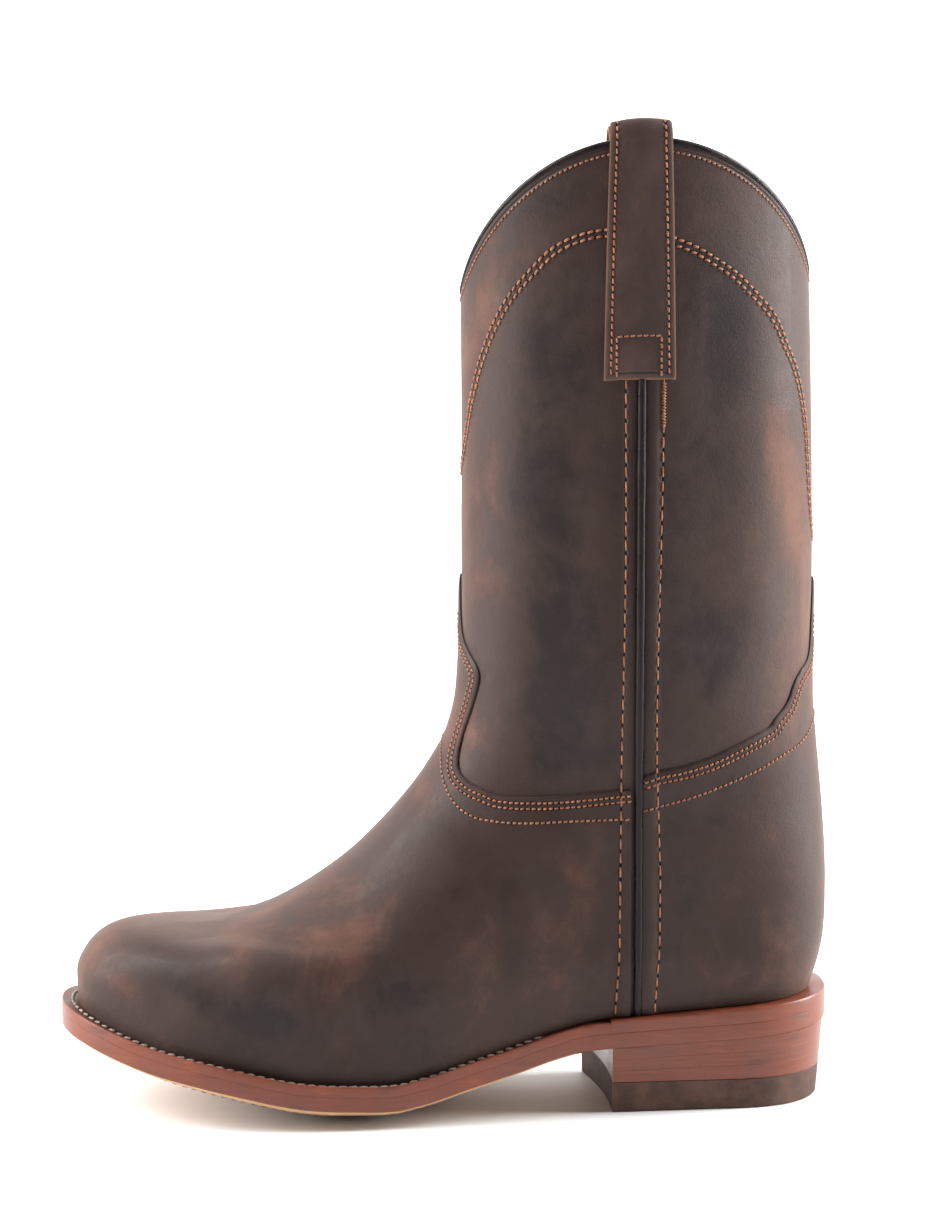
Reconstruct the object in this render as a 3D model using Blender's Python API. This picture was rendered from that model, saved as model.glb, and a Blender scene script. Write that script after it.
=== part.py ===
"""A left roper boot, pull-on, standing on its heel and the ball of its sole.

Metres, +Z up. The toe points to -X, the outer side of the foot faces -Y and the floor is z = 0.
The tables are in millimetres. Each piece of the boot is one object.
"""
import math
from collections import namedtuple

import bmesh
import bpy
import numpy as np

MM = 0.001

# Thicknesses of the pieces, mm
WALL = 2.4            # shaft leather and its lining
OVERLAY = 1.1         # vamp and counter leather where they lie over the shaft
GAP = 0.3             # clearance between two pieces that touch
CURVED_GAP = 0.45     # the same where two pieces meet along a curve in their length
OUTSOLE = 6.2
WELT = 4.0
RAND_FRONT = 4.7      # heel seat rand at the breast
RAND_BACK = 6.0       # and at the back of the heel
INSOLE = 6.6          # insole with the filling under it
TOP_LIFT = 11.8       # rubber under the heel

# Bottom of the sole, mm
FLAT_HALF = 17.0      # half width of the flat strip along the sole's middle
CROWN_REACH = 31.0    # beyond that strip the sole curls up, by the crown in the table at this distance
LEATHER_LIFTS = 3
HEEL_BREAST = 58.5    # where the heel starts, at its middle
BREAST_SLANT = 0.09   # the inner end of the breast lies further forward
BREAST_HOLLOW = 2.6   # depth of the breast's curve
HEEL_TAPER = 2.6      # the heel narrows by this on its way down
HEEL_TOP = 29.6       # height of the heel's top at the very back
SEAT_SLOPE = 0.05     # fall of the heel's top towards the breast

# Fullness of the round ends of the loops: 2 is an ellipse, and more is fuller
FOOT_ROUND = 2.3
SHAFT_ROUND = 2.0
EASE_FROM = 3         # rows between which the instep's round ends ease out into its sides
EASE_TO = 13

# Shaft, mm
COLLAR_RISE = 52.6    # height of the topline's side peaks over its front and back dips
DIP_SOFTNESS = 0.20
SHAFT_TURN = 0.10     # the side seams turn by this much out of the boot's line
SEAM_X = 73.5         # the side seams, at the middle of the boot
SEAM_HALF = 2.2       # half of the slot between vamp and counter, where the piping runs
PIPING_HALF_WIDTH = 1.5
PIPING_HALF_HEIGHT = 1.2
BINDING_WIDTH = 3.0
BINDING_HEIGHT = 1.7
STRAP_WIDTH = 26.6
STRAP_THICKNESS = 2.1
STRAP_FOOT = 16.66    # row of the loop table at which the outer leg of a strap ends
STRAP_INNER_FOOT = 17.3
STRAP_LOOP = 5.6      # height of a strap's underside over the collar

# Fineness of the meshes
AROUND = 48           # columns round the upper
TOE_STEPS = 8         # steps along an outline round the toe, along the sides and round the heel
SIDE_STEPS = 18
HEEL_STEPS = 6
PIPING_RINGS = 22

# Plan of the sole and the foot, one row for each station from toe to heel.
# centre: sideways place of the middle; feather and bulge: half widths at the welt and at the widest;
# margin: how far the welt stands out; crown: see above; floor: height of the sole's underside at its middle.
Station = namedtuple("Station", "x centre feather bulge margin crown floor")
STATIONS = (
    Station(-150, 6.0, 40.0, 41.0, 8.4, 0.0, 30.8),
    Station(-135, 6.0, 41.0, 42.0, 7.8, 2.0, 25.4),
    Station(-115, 4.5, 42.5, 44.5, 6.8, 4.0, 16.4),
    Station(-95, 2.5, 44.5, 47.0, 6.5, 5.0, 9.6),
    Station(-75, 0.5, 46.0, 48.5, 6.2, 5.2, 4.6),
    Station(-51, -1.5, 46.5, 49.5, 6.0, 5.4, 0.0),
    Station(-26, -2.7, 44.0, 47.6, 5.7, 5.4, 0.0),
    Station(-12, -3.5, 41.0, 45.8, 5.3, 4.9, 3.4),
    Station(5, -4.2, 37.0, 43.0, 4.8, 4.0, 9.6),
    Station(24, -4.3, 32.8, 39.4, 4.4, 2.2, 16.2),
    Station(40, -4.0, 30.4, 36.6, 4.4, 0.9, 21.6),
    Station(50, -3.6, 29.4, 35.4, 4.5, 0.2, 24.1),
    Station(55, -3.4, 29.1, 35.2, 4.5, 0.1, HEEL_TOP - 95 * SEAT_SLOPE),
    Station(61, -3.0, 29.0, 35.0, 4.6, 0.0, HEEL_TOP - 89 * SEAT_SLOPE),
    Station(105, 0.5, 29.5, 34.0, 5.6, 0.0, HEEL_TOP - 45 * SEAT_SLOPE),
    Station(150, 3.8, 29.5, 34.0, 8.5, 0.0, HEEL_TOP),
)

# Loops of the upper, one row for each, from the feather line at the welt to the topline.
# front and back: where the loop crosses the boot's front or top line and its back line;
# toe_round and heel_round: length over which the loop's two ends round off; level: 0 follows the
# feather line, 1 is straight; full: 0 has the feather's width, 1 the bulge; trunk: 0 takes the plan's
# width, 1 the shaft's half width; lift: share of the collar's rise.
Loop = namedtuple("Loop", "front_x front_z back_x back_z toe_round heel_round level full trunk half lift")
LOOPS = (
    Loop(-140.3, 42.0, 140.8, 42.6, 62, 31.0, 0.00, 0.00, 0.00, 34.0, 0.00),
    Loop(-140.5, 50.0, 143.2, 49.0, 62, 31.5, 0.10, 0.45, 0.00, 34.0, 0.00),
    Loop(-137.2, 58.5, 145.0, 55.5, 62, 32.5, 0.22, 0.80, 0.00, 34.0, 0.00),
    Loop(-130.5, 66.0, 146.2, 62.0, 62, 34.0, 0.34, 1.00, 0.02, 34.2, 0.00),
    Loop(-119.5, 70.8, 146.8, 69.0, 60, 35.0, 0.46, 1.00, 0.05, 34.6, 0.00),
    Loop(-105.0, 73.0, 147.0, 76.5, 60, 36.0, 0.56, 1.00, 0.10, 35.0, 0.00),
    Loop(-89.5, 73.5, 147.0, 84.0, 64, 37.0, 0.64, 1.00, 0.17, 35.5, 0.00),
    Loop(-73.0, 77.2, 146.8, 91.5, 70, 39.0, 0.72, 1.00, 0.25, 36.2, 0.00),
    Loop(-55.0, 86.0, 146.4, 99.5, 76, 42.0, 0.80, 1.00, 0.36, 37.0, 0.00),
    Loop(-35.5, 99.0, 145.8, 108.0, 80, 46.0, 0.88, 1.00, 0.50, 38.0, 0.00),
    Loop(-19.5, 113.5, 145.0, 117.5, 80, 51.0, 0.94, 1.00, 0.65, 39.3, 0.00),
    Loop(-6.8, 128.8, 143.9, 128.0, 77, 57.0, 0.98, 1.00, 0.80, 41.0, 0.00),
    Loop(1.8, 144.0, 142.6, 141.0, 73, 62.0, 1.00, 1.00, 0.92, 43.0, 0.00),
    Loop(5.4, 160.0, 141.4, 157.0, 70, 66.0, 1.00, 1.00, 1.00, 44.6, 0.00),
    Loop(6.4, 180.0, 141.2, 178.0, 68, 67.5, 1.00, 1.00, 1.00, 46.0, 0.00),
    Loop(6.5, 205.0, 141.6, 204.0, 67.6, 67.6, 1.00, 1.00, 1.00, 46.8, 0.10),
    Loop(6.4, 235.0, 141.3, 236.0, 67.5, 67.5, 1.00, 1.00, 1.00, 47.2, 0.30),
    Loop(6.4, 265.0, 140.6, 268.0, 67.2, 67.2, 1.00, 1.00, 1.00, 47.6, 0.60),
    Loop(6.2, 291.0, 139.8, 296.0, 66.9, 66.9, 1.00, 1.00, 1.00, 48.0, 0.85),
    Loop(6.0, 311.5, 139.0, 318.5, 66.5, 66.5, 1.00, 1.00, 1.00, 48.3, 1.00),
)
TOP = len(LOOPS) - 1
OVERLAY_ROW = 16      # no overlay reaches as high as this row

# Top edges of vamp and counter as they are cut, seen from the side: x and height.
Corner = namedtuple("Corner", "x z")
VAMP_EDGE = (
    Corner(5.2, 204.5), Corner(6.6, 192.0), Corner(7.2, 180.0), Corner(9.4, 173.2), Corner(13.0, 168.4),
    Corner(14.0, 164.0), Corner(12.4, 157.5), Corner(9.6, 148.5), Corner(8.0, 142.0), Corner(6.8, 136.0),
    Corner(7.6, 131.0), Corner(11.0, 126.4), Corner(16.0, 123.6), Corner(22.0, 122.8), Corner(45.0, 123.4),
    Corner(69.0, 125.6),
)
COUNTER_EDGE = (
    Corner(78.0, 132.2), Corner(87.0, 134.4), Corner(97.5, 137.5), Corner(107.0, 141.2), Corner(119.0, 146.6),
    Corner(126.0, 150.6), Corner(131.0, 155.6), Corner(133.4, 162.0), Corner(136.4, 167.0),
    Corner(140.4, 170.5), Corner(141.6, 176.0), Corner(142.0, 187.0), Corner(143.2, 200.0),
)
CUT_REACH = 90.0      # half length of a cutter, sideways
CUT_PAST = 40.0       # how far a cutter passes the leather at front, back and below

LEATHER = (0.115, 0.062, 0.045)
PIPING_BLACK = (0.022, 0.018, 0.020)
SOLE_LEATHER = (0.235, 0.082, 0.042)
RUBBER = (0.060, 0.040, 0.028)
INSOLE_LEATHER = (0.36, 0.24, 0.14)


def eased(places, values, where):
    """Values read along a smooth curve that never overshoots the table."""
    places = np.asarray(places, float)
    values = np.asarray(values, float)
    run = np.diff(places)
    slope = np.diff(values) / run
    tangent = np.zeros(len(places))
    both = slope[:-1] * slope[1:]
    before = 2 * run[1:] + run[:-1]
    after = run[1:] + 2 * run[:-1]
    steady = both > 0
    tangent[1:-1][steady] = ((before + after)[steady]
                             / (before[steady] / slope[:-1][steady] + after[steady] / slope[1:][steady]))
    tangent[0] = slope[0]
    tangent[-1] = slope[-1]
    where = np.clip(np.asarray(where, float), places[0], places[-1])
    k = np.clip(np.searchsorted(places, where, side="right") - 1, 0, len(run) - 1)
    u = (where - places[k]) / run[k]
    return (values[k] * (1 + 2 * u) * (1 - u) ** 2 + values[k + 1] * u * u * (3 - 2 * u)
            + run[k] * (tangent[k] * u * (1 - u) ** 2 - tangent[k + 1] * u * u * (1 - u)))


def station(name, x):
    return eased([row.x for row in STATIONS], [getattr(row, name) for row in STATIONS], x)


def loop(name, row):
    return eased(range(len(LOOPS)), [getattr(each, name) for each in LOOPS], row)


def round_end(depth, length, power=FOOT_ROUND, ease=0.0):
    """Share of the full width at this depth behind a round end, which may ease out further along."""
    left = 1 - np.clip(depth / (length * (1 + ease / 2)), 0, 1)
    return (1 - left ** (power + ease)) ** (1 / power)


def sole_bottom(x, y):
    """Height of the sole's underside."""
    out = np.maximum(0, np.abs(y - station("centre", x)) - FLAT_HALF) / CROWN_REACH
    return station("floor", x) + station("crown", x) * out * out


def rand_height(x):
    return RAND_FRONT + (RAND_BACK - RAND_FRONT) * (x - HEEL_BREAST) / (STATIONS[-1].x - HEEL_BREAST)


def deck_height(x, y):
    """Height of the welt's top, and of the rand's behind the breast."""
    step = np.clip((x - HEEL_BREAST + 6) / 6, 0, 1)
    return sole_bottom(x, y) + OUTSOLE + GAP + WELT + step * (rand_height(x) - WELT)


def feather_height(x):
    """Height of the upper's lower edge: just clear of the welt under the overlay's outer face."""
    first = LOOPS[0]
    rounded = round_end(x - first.front_x, first.toe_round) * round_end(first.back_x - x, first.heel_round)
    half = station("feather", x) * rounded
    past = (OVERLAY + GAP) * (1 - rounded) * np.sign(first.front_x - x + first.toe_round)
    return deck_height(x - past, station("centre", x) + half + OVERLAY + GAP) + CURVED_GAP


def collar_lift(angle):
    """0 at the front and back dips, 1 at the side peaks."""
    soft = DIP_SOFTNESS
    return (np.sqrt(np.sin(angle) ** 2 + soft * soft) - soft) / (math.sqrt(1 + soft * soft) - soft)


def skin(row, angle):
    """A point of the upper's outer face. The angle is 0 at the toe and pi at the heel, by the outer side."""
    row, angle = np.broadcast_arrays(np.asarray(row, float), np.asarray(angle, float))
    front_x, back_x = loop("front_x", row), loop("back_x", row)
    first = LOOPS[0]
    low = feather_height(np.array([first.front_x, first.back_x]))
    start = np.maximum(0, 1 - row)
    front_z = loop("front_z", row) + start * (low[0] - first.front_z)
    back_z = loop("back_z", row) + start * (low[1] - first.back_z)
    along = (1 - np.cos(angle)) / 2
    x = front_x + along * (back_x - front_x)
    chord = low[0] + (low[1] - low[0]) * (x - first.front_x) / (first.back_x - first.front_x)
    z = (front_z + along * (back_z - front_z) + (1 - loop("level", row)) * (feather_height(x) - chord)
         + COLLAR_RISE * loop("lift", row) * collar_lift(angle))
    full, trunk = loop("full", row), loop("trunk", row)
    plan = station("feather", x) * (1 - full) + station("bulge", x) * full
    power = FOOT_ROUND * (1 - trunk) + SHAFT_ROUND * trunk
    half = plan * (1 - trunk) + loop("half", row) * trunk
    ease = np.clip((row - EASE_FROM) / 2, 0, 1) * np.clip((EASE_TO - row) / 3, 0, 1)
    half = half * round_end(x - front_x, loop("toe_round", row), power, ease)
    half = half * round_end(back_x - x, loop("heel_round", row), power, ease)
    y = station("centre", x) * (1 - trunk) - np.sign(np.sin(angle)) * half
    return np.stack([x + SHAFT_TURN * trunk * y, y, z], axis=-1)


def outward(row, angle, flat=None):
    """Unit normal of the skin, laid level where flat is true."""
    step = 0.004
    row, angle = np.broadcast_arrays(np.asarray(row, float), np.asarray(angle, float))
    up = skin(np.minimum(row + step, TOP), angle) - skin(np.maximum(row - step, 0), angle)
    across = skin(row, angle + step) - skin(row, angle - step)
    normal = np.cross(across, up)
    if flat is not None:
        normal[flat, 2] = 0
    return normal / np.linalg.norm(normal, axis=-1, keepdims=True)


def skin_off(row, angle, proud):
    """A point this far outside the skin. At the feather line and the topline it moves level."""
    row, angle = np.broadcast_arrays(np.asarray(row, float), np.asarray(angle, float))
    return skin(row, angle) + proud * outward(row, angle, (row <= 0) | (row >= TOP))


def seam_angle(row, side):
    """Angle at which the loop crosses the side seam. side is -1 on the outer side and 1 on the inner."""
    angles = np.linspace(0.15, 0.85, 141) * math.pi
    angles = angles if side < 0 else 2 * math.pi - angles
    points = skin(row, angles)
    return np.interp(0, points[:, 0] - SEAM_X - SHAFT_TURN * points[:, 1], angles)


def leather_material(name, colour, roughness):
    material = bpy.data.materials.new(name)
    material.use_nodes = True
    shader = material.node_tree.nodes["Principled BSDF"]
    shader.inputs["Base Color"].default_value = (*colour, 1)
    shader.inputs["Roughness"].default_value = roughness
    shader.inputs["Metallic"].default_value = 0
    return material


def add_piece(name, points, faces, material):
    """An object from points in millimetres."""
    mesh = bpy.data.meshes.new(name)
    mesh.from_pydata([tuple(float(value) * MM for value in point) for point in points], [], faces)
    form = bmesh.new()
    form.from_mesh(mesh)
    bmesh.ops.recalc_face_normals(form, faces=form.faces)
    form.to_mesh(mesh)
    form.free()
    mesh.shade_smooth()
    mesh.set_sharp_from_angle(angle=math.radians(40))
    mesh.materials.append(material)
    piece = bpy.data.objects.new(name, mesh)
    bpy.context.scene.collection.objects.link(piece)
    return piece


def ring_faces(rows, columns):
    """Faces of a tube of closed rings, each joined to the next, and the last to the first."""
    faces = []
    for i in range(rows):
        for j in range(columns):
            a, b = i * columns + j, i * columns + (j + 1) % columns
            c, d = (i + 1) % rows * columns + (j + 1) % columns, (i + 1) % rows * columns + j
            faces.append((a, b, c, d))
    return faces


def bar_faces(rows, columns):
    """Faces of a bar of closed rings with a cap at each end."""
    faces = ring_faces(rows, columns)[:(rows - 1) * columns]
    faces.append(tuple(reversed(range(columns))))
    faces.append(tuple((rows - 1) * columns + j for j in range(columns)))
    return faces


def around_angles():
    """Angles round the upper, a little closer together along its sides than at toe and heel."""
    even = np.arange(AROUND) * 2 * math.pi / AROUND
    return even + 0.14 * np.sin(2 * even)


def layer_faces(rows):
    """Triangles of a shell round the boot. Every shell has the same diagonals, so shells stay parallel."""
    faces = []
    for k, (a, b, c, d) in enumerate(ring_faces(2 * rows, AROUND)):
        inner = k // AROUND >= rows
        faces += [(a, b, d), (b, c, d)] if inner else [(a, b, c), (a, c, d)]
    return faces


def add_skin_layer(name, rows, inner, outer, material):
    """A closed shell round the boot, between two distances from the skin."""
    angles = around_angles()
    rings = [skin_off(row, angles, outer) for row in rows]
    rings += [skin_off(row, angles, inner) for row in reversed(rows)]
    rings[-1][:, 2] = rings[0][:, 2]
    rings[len(rows)][:, 2] = rings[len(rows) - 1][:, 2]
    return add_piece(name, np.concatenate(rings), layer_faces(len(rows)), material)


def add_cutter(name, outline):
    """A bar across the boot with this outline, turned with the side seams."""
    points = [(corner.x + SHAFT_TURN * y, y, corner.z) for y in (-CUT_REACH, CUT_REACH) for corner in outline]
    cutter = add_piece(name, points, bar_faces(2, len(outline)), bpy.data.materials.new(name))
    cutter.hide_render = True
    cutter.display_type = "WIRE"
    return cutter


def keep_inside(piece, cutter):
    cut = piece.modifiers.new("cut to pattern", "BOOLEAN")
    cut.operation = "INTERSECT"
    cut.solver = "EXACT"
    cut.object = cutter


def build_upper(leather):
    return add_skin_layer("upper", list(range(TOP + 1)), -WALL, 0, leather)


def build_vamp_and_counter(leather):
    """The two overlays, cut from shells that lie round the whole boot."""
    rows = list(range(OVERLAY_ROW + 1))
    below, above = -CUT_PAST, VAMP_EDGE[0].z
    front, back = STATIONS[0].x - CUT_PAST, STATIONS[-1].x + CUT_PAST
    vamp_outline = list(VAMP_EDGE) + [
        Corner(SEAM_X - SEAM_HALF, VAMP_EDGE[-1].z), Corner(SEAM_X - SEAM_HALF, below),
        Corner(front, below), Corner(front, above)]
    counter_outline = [
        Corner(back, COUNTER_EDGE[-1].z), Corner(back, below), Corner(SEAM_X + SEAM_HALF, below),
        Corner(SEAM_X + SEAM_HALF, COUNTER_EDGE[0].z - 0.6)] + list(COUNTER_EDGE)
    for name, outline in (("vamp", vamp_outline), ("counter", counter_outline)):
        piece = add_skin_layer(name, rows, GAP, GAP + OVERLAY, leather)
        keep_inside(piece, add_cutter(name + "_pattern", outline))


def build_binding(leather):
    """The dark beading along the topline."""
    angles = around_angles()
    centre = skin_off(TOP, angles, -WALL / 2) + [0, 0, CURVED_GAP]
    across = outward(TOP, angles, np.ones(AROUND, bool)) * BINDING_WIDTH / 2
    up = np.array([0, 0, BINDING_HEIGHT])
    section = ((1.0, 0.0), (1.0, 0.6), (0.55, 1.0), (-0.55, 1.0), (-1.0, 0.6), (-1.0, 0.0))
    rings = [centre + out * across + high * up for out, high in section]
    add_piece("collar_binding", np.concatenate(rings), ring_faces(len(section), AROUND), leather)


def build_piping(side, leather):
    """The bead in the side seam, from the welt to just above the strap's lower end."""
    rows = np.linspace(0.12, STRAP_FOOT - 0.12, PIPING_RINGS)
    rings = []
    for row in rows:
        angle = seam_angle(row, side)
        along = skin(row + 0.05, seam_angle(row + 0.05, side)) - skin(row - 0.05, seam_angle(row - 0.05, side))
        out = outward(row, angle)
        across = np.cross(along, out)
        across = across / np.linalg.norm(across)
        heart = skin(row, angle) + out * (GAP + PIPING_HALF_HEIGHT)
        turns = np.arange(6) * math.pi / 3
        rings.append(heart + np.outer(np.cos(turns) * PIPING_HALF_WIDTH, across)
                     + np.outer(np.sin(turns) * PIPING_HALF_HEIGHT, out))
    name = "piping_outer" if side < 0 else "piping_inner"
    add_piece(name, np.concatenate(rings), bar_faces(len(rings), 6), leather)


def build_strap(side, leather):
    """A pull strap, sewn to the shaft outside, over the collar and down its inside."""
    spread = np.linspace(-0.5, 0.5, 5) * STRAP_WIDTH
    leg_rows = np.linspace(STRAP_FOOT, TOP - 0.05, 7)
    inner_rows = np.linspace(TOP - 0.05, STRAP_INNER_FOOT, 5)
    turns = np.linspace(0, math.pi, 9)[1:-1]

    def angles_at(row):
        middle = seam_angle(row, side)
        return middle + spread / np.linalg.norm(skin(row, middle + 0.5e-2) - skin(row, middle - 0.5e-2)) * 1e-2

    def layer(off):
        lines = [skin_off(row, angles_at(row), GAP + off) for row in leg_rows]
        rim, out = skin(TOP, angles_at(TOP)), outward(TOP, angles_at(TOP), np.ones(len(spread), bool))
        for turn in turns:
            reach = (BINDING_WIDTH / 2 + GAP + off) * math.cos(turn)
            lines.append(rim + out * (reach - WALL / 2) + [0, 0, (STRAP_LOOP + off) * math.sin(turn)])
        lines += [skin_off(row, angles_at(row), -WALL - GAP - off) for row in inner_rows]
        return lines

    under, over = layer(0), layer(STRAP_THICKNESS)
    rings = [np.concatenate([low, high[::-1]]) for low, high in zip(under, over)]
    name = "pull_strap_outer" if side < 0 else "pull_strap_inner"
    add_piece(name, np.concatenate(rings), bar_faces(len(rings), 2 * len(spread)), leather)


def rim(angle, margin, side):
    """A point of the feather outline moved out by the margin, in plan. side is -1 for the outer side."""
    angle = np.asarray(angle, float)
    angle = angle if side < 0 else 2 * math.pi - angle
    point = skin(0, angle)[..., :2]
    step = 0.01
    along = skin(0, angle + step)[..., :2] - skin(0, angle - step)[..., :2]
    out = np.stack([along[..., 1], -along[..., 0]], axis=-1)
    return point + np.asarray(margin)[..., None] * out / np.linalg.norm(out, axis=-1, keepdims=True)


def outline_angles():
    """Angles from toe to heel that follow both round ends closely and the sides evenly."""
    first = LOOPS[0]
    toe = first.front_x + first.toe_round * (1 - np.cos(np.linspace(0, math.pi / 2, TOE_STEPS + 1)))
    heel = first.back_x - first.heel_round * (1 - np.cos(np.linspace(math.pi / 2, 0, HEEL_STEPS + 1)))
    side = np.linspace(toe[-1], heel[0], SIDE_STEPS + 1)[1:-1]
    along = (np.concatenate([toe, side, heel]) - first.front_x) / (first.back_x - first.front_x)
    return np.arccos(1 - 2 * np.clip(along, 0, 1))


def welt_margin(angle):
    first = LOOPS[0]
    return station("margin", first.front_x + (1 - np.cos(angle)) / 2 * (first.back_x - first.front_x))


def add_slab(name, margin, shares, low, high, material, edge=((0.0, 0.0),)):
    """A plate with the feather's outline moved out by the margin.

    shares are the places of its lengthwise lines across half the width. The side has a ring for each
    entry of edge: how far it is drawn in, and its share of the thickness.
    """
    angles = outline_angles()
    ratio = np.array([-s for s in reversed(shares)] + list(shares[1:]))
    width = len(ratio)

    def lay(drawn, height, whole):
        outer = rim(angles, margin(angles) - drawn, -1)
        inner = rim(angles, margin(angles) - drawn, 1)
        mix = (ratio + 1) / 2
        grid = outer[:, None] * (1 - mix)[None, :, None] + inner[:, None] * mix[None, :, None]
        x, y = grid[..., 0], grid[..., 1]
        bottom, top = low(x, y), high(x, y)
        points = np.stack([x, y, bottom + height * (top - bottom)], axis=-1)
        if whole:
            return points
        return np.concatenate([points[:, 0], points[-2:0:-1, -1]])

    levels = [lay(drawn, height, False) for drawn, height in edge[1:-1]]
    bottom, top = lay(edge[0][0], 0.0, True), lay(edge[-1][0], 1.0, True)
    points, keys = [], {}

    def index(point):
        key = tuple(np.round(point, 5))
        if key not in keys:
            keys[key] = len(points)
            points.append(point)
        return keys[key]

    def put(*corners):
        face = []
        for corner in corners:
            number = index(corner)
            if number not in face:
                face.append(number)
        if len(face) > 2:
            faces.append(tuple(face))

    faces = []
    for i in range(len(angles) - 1):
        for j in range(width - 1):
            put(bottom[i, j], bottom[i, j + 1], bottom[i + 1, j + 1], bottom[i + 1, j])
            put(top[i, j], top[i + 1, j], top[i + 1, j + 1], top[i, j + 1])
    rings = [np.concatenate([bottom[:, 0], bottom[-2:0:-1, -1]])] + levels
    rings.append(np.concatenate([top[:, 0], top[-2:0:-1, -1]]))
    count = len(rings[0])
    for below, above in zip(rings, rings[1:]):
        for k in range(count):
            after = (k + 1) % count
            put(below[k], below[after], above[after], above[k])
    return add_piece(name, points, faces, material)


def build_outsole(leather):
    add_slab("outsole", welt_margin, (0.0, 0.33, 0.6, 0.86, 1.0), sole_bottom,
             lambda x, y: sole_bottom(x, y) + OUTSOLE, leather,
             edge=((0.9, 0.0), (0.0, 0.25), (0.0, 0.85), (0.3, 1.0)))


def build_insole(leather):
    def inside(angles):
        return np.full(len(angles), -WALL - 2 * GAP)

    add_slab("insole", inside, (0.0, 0.39, 0.71, 1.0), lambda x, y: sole_bottom(x, y) + OUTSOLE + CURVED_GAP,
             lambda x, y: sole_bottom(x, y) + OUTSOLE + CURVED_GAP + INSOLE, leather, edge=((0.0, 0.0), (0.0, 1.0)))


def breast_x(y, shift=0.0):
    """The heel breast's line in plan, slanted and slightly hollow."""
    middle = station("centre", HEEL_BREAST)
    share = (y - middle) / 34.0
    return HEEL_BREAST + shift - BREAST_SLANT * (y - middle) + BREAST_HOLLOW * (1 - np.minimum(1, share * share))


def angle_at(x, margin_in, side):
    """Angle at which the sole's edge, drawn in by this much, crosses the breast moved to this x."""
    angles = np.linspace(0.3, 0.95, 400) * math.pi
    edge = rim(angles, welt_margin(angles) - margin_in, side)
    return np.interp(0, edge[:, 0] - breast_x(edge[:, 1], x), angles)


def add_edge_strip(name, angles, side_of, bottom, top, material):
    """A strip of leather along the sole's edge, with a softly rounded outer side."""
    section = ((0.0, 0.0), (1.0, 0.0), (1.0, 0.75), (0.94, 1.0), (0.0, 1.0))
    rings = []
    for angle, side in zip(angles, side_of):
        wide = welt_margin(angle) + WALL
        ring = []
        for out, high in section:
            x, y = rim(angle, -WALL + out * wide, side)
            low, peak = bottom(x, y), top(x, y)
            ring.append((x, y, low + high * (peak - low)))
        rings.append(np.array(ring))
    add_piece(name, np.concatenate(rings), bar_faces(len(rings), len(section)), material)


def build_welt(leather):
    """From the breast on the outer side round the toe to the breast on the inner side."""
    outer_end, inner_end = angle_at(-1.0, 0, -1), angle_at(-1.0, 0, 1)
    angles = outline_angles()
    outer = np.append(angles[angles < outer_end - 0.01], outer_end)[::-1]
    inner = np.append(angles[angles < inner_end - 0.01], inner_end)[1:]
    add_edge_strip("welt", np.concatenate([outer, inner]), [-1] * len(outer) + [1] * len(inner),
                   lambda x, y: sole_bottom(x, y) + OUTSOLE + CURVED_GAP,
                   lambda x, y: sole_bottom(x, y) + OUTSOLE + GAP + WELT, leather)


def build_rand(leather):
    """Round the heel seat, from where the welt ends on one side to where it ends on the other."""
    outer_end, inner_end = angle_at(-1.0 + 2 * GAP, 0, -1), angle_at(-1.0 + 2 * GAP, 0, 1)
    angles = outline_angles()
    inner = np.append(inner_end, angles[angles > inner_end + 0.01])
    outer = np.append(outer_end, angles[angles > outer_end + 0.01])[-2::-1]
    add_edge_strip("heel_rand", np.concatenate([inner, outer]), [1] * len(inner) + [-1] * len(outer),
                   lambda x, y: sole_bottom(x, y) + OUTSOLE + GAP, deck_height, leather)


def heel_outline(drawn):
    """Plan of the heel, drawn in by this much: the breast from inner to outer side, then round the back."""
    outer_end, inner_end = angle_at(0, drawn, -1), angle_at(0, drawn, 1)
    angles = outline_angles()
    there = np.append(outer_end, angles[angles > outer_end + 0.01])
    back = np.append(inner_end, angles[angles > inner_end + 0.01])[-2::-1]
    outer = rim(there, welt_margin(there) - drawn, -1)
    inner = rim(back, welt_margin(back) - drawn, 1)
    rounds = np.concatenate([outer, inner])
    across = np.linspace(inner[-1][1], outer[0][1], 9)[1:-1]
    breast = np.stack([breast_x(across), across], axis=-1)
    return np.concatenate([rounds, breast])


def add_lift(name, low, high, material):
    """A layer of the heel between two heights, each a share of the leather stack at that place."""
    points = []
    for height in (low, high):
        middle = height(105.0) / HEEL_TOP
        plan = heel_outline(0.6 + HEEL_TAPER * (1 - middle))
        points.append([(x, y, height(x)) for x, y in plan])
    count = len(points[0])
    add_piece(name, points[0] + points[1], bar_faces(2, count), material)


def build_heel(leather, rubber):
    def sole_over(x):
        return HEEL_TOP + SEAT_SLOPE * (x - STATIONS[-1].x)

    def level(share, clear):
        return lambda x: TOP_LIFT + share * (sole_over(x) - TOP_LIFT) + clear

    for k in range(LEATHER_LIFTS):
        add_lift("heel_lift_%d" % (k + 1), level(k / LEATHER_LIFTS, GAP / 2 + 0.01),
                 level((k + 1) / LEATHER_LIFTS, -GAP / 2 - 0.01), leather)
    add_lift("top_lift", lambda x: 0.0, lambda x: TOP_LIFT - GAP / 2, rubber)


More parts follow.
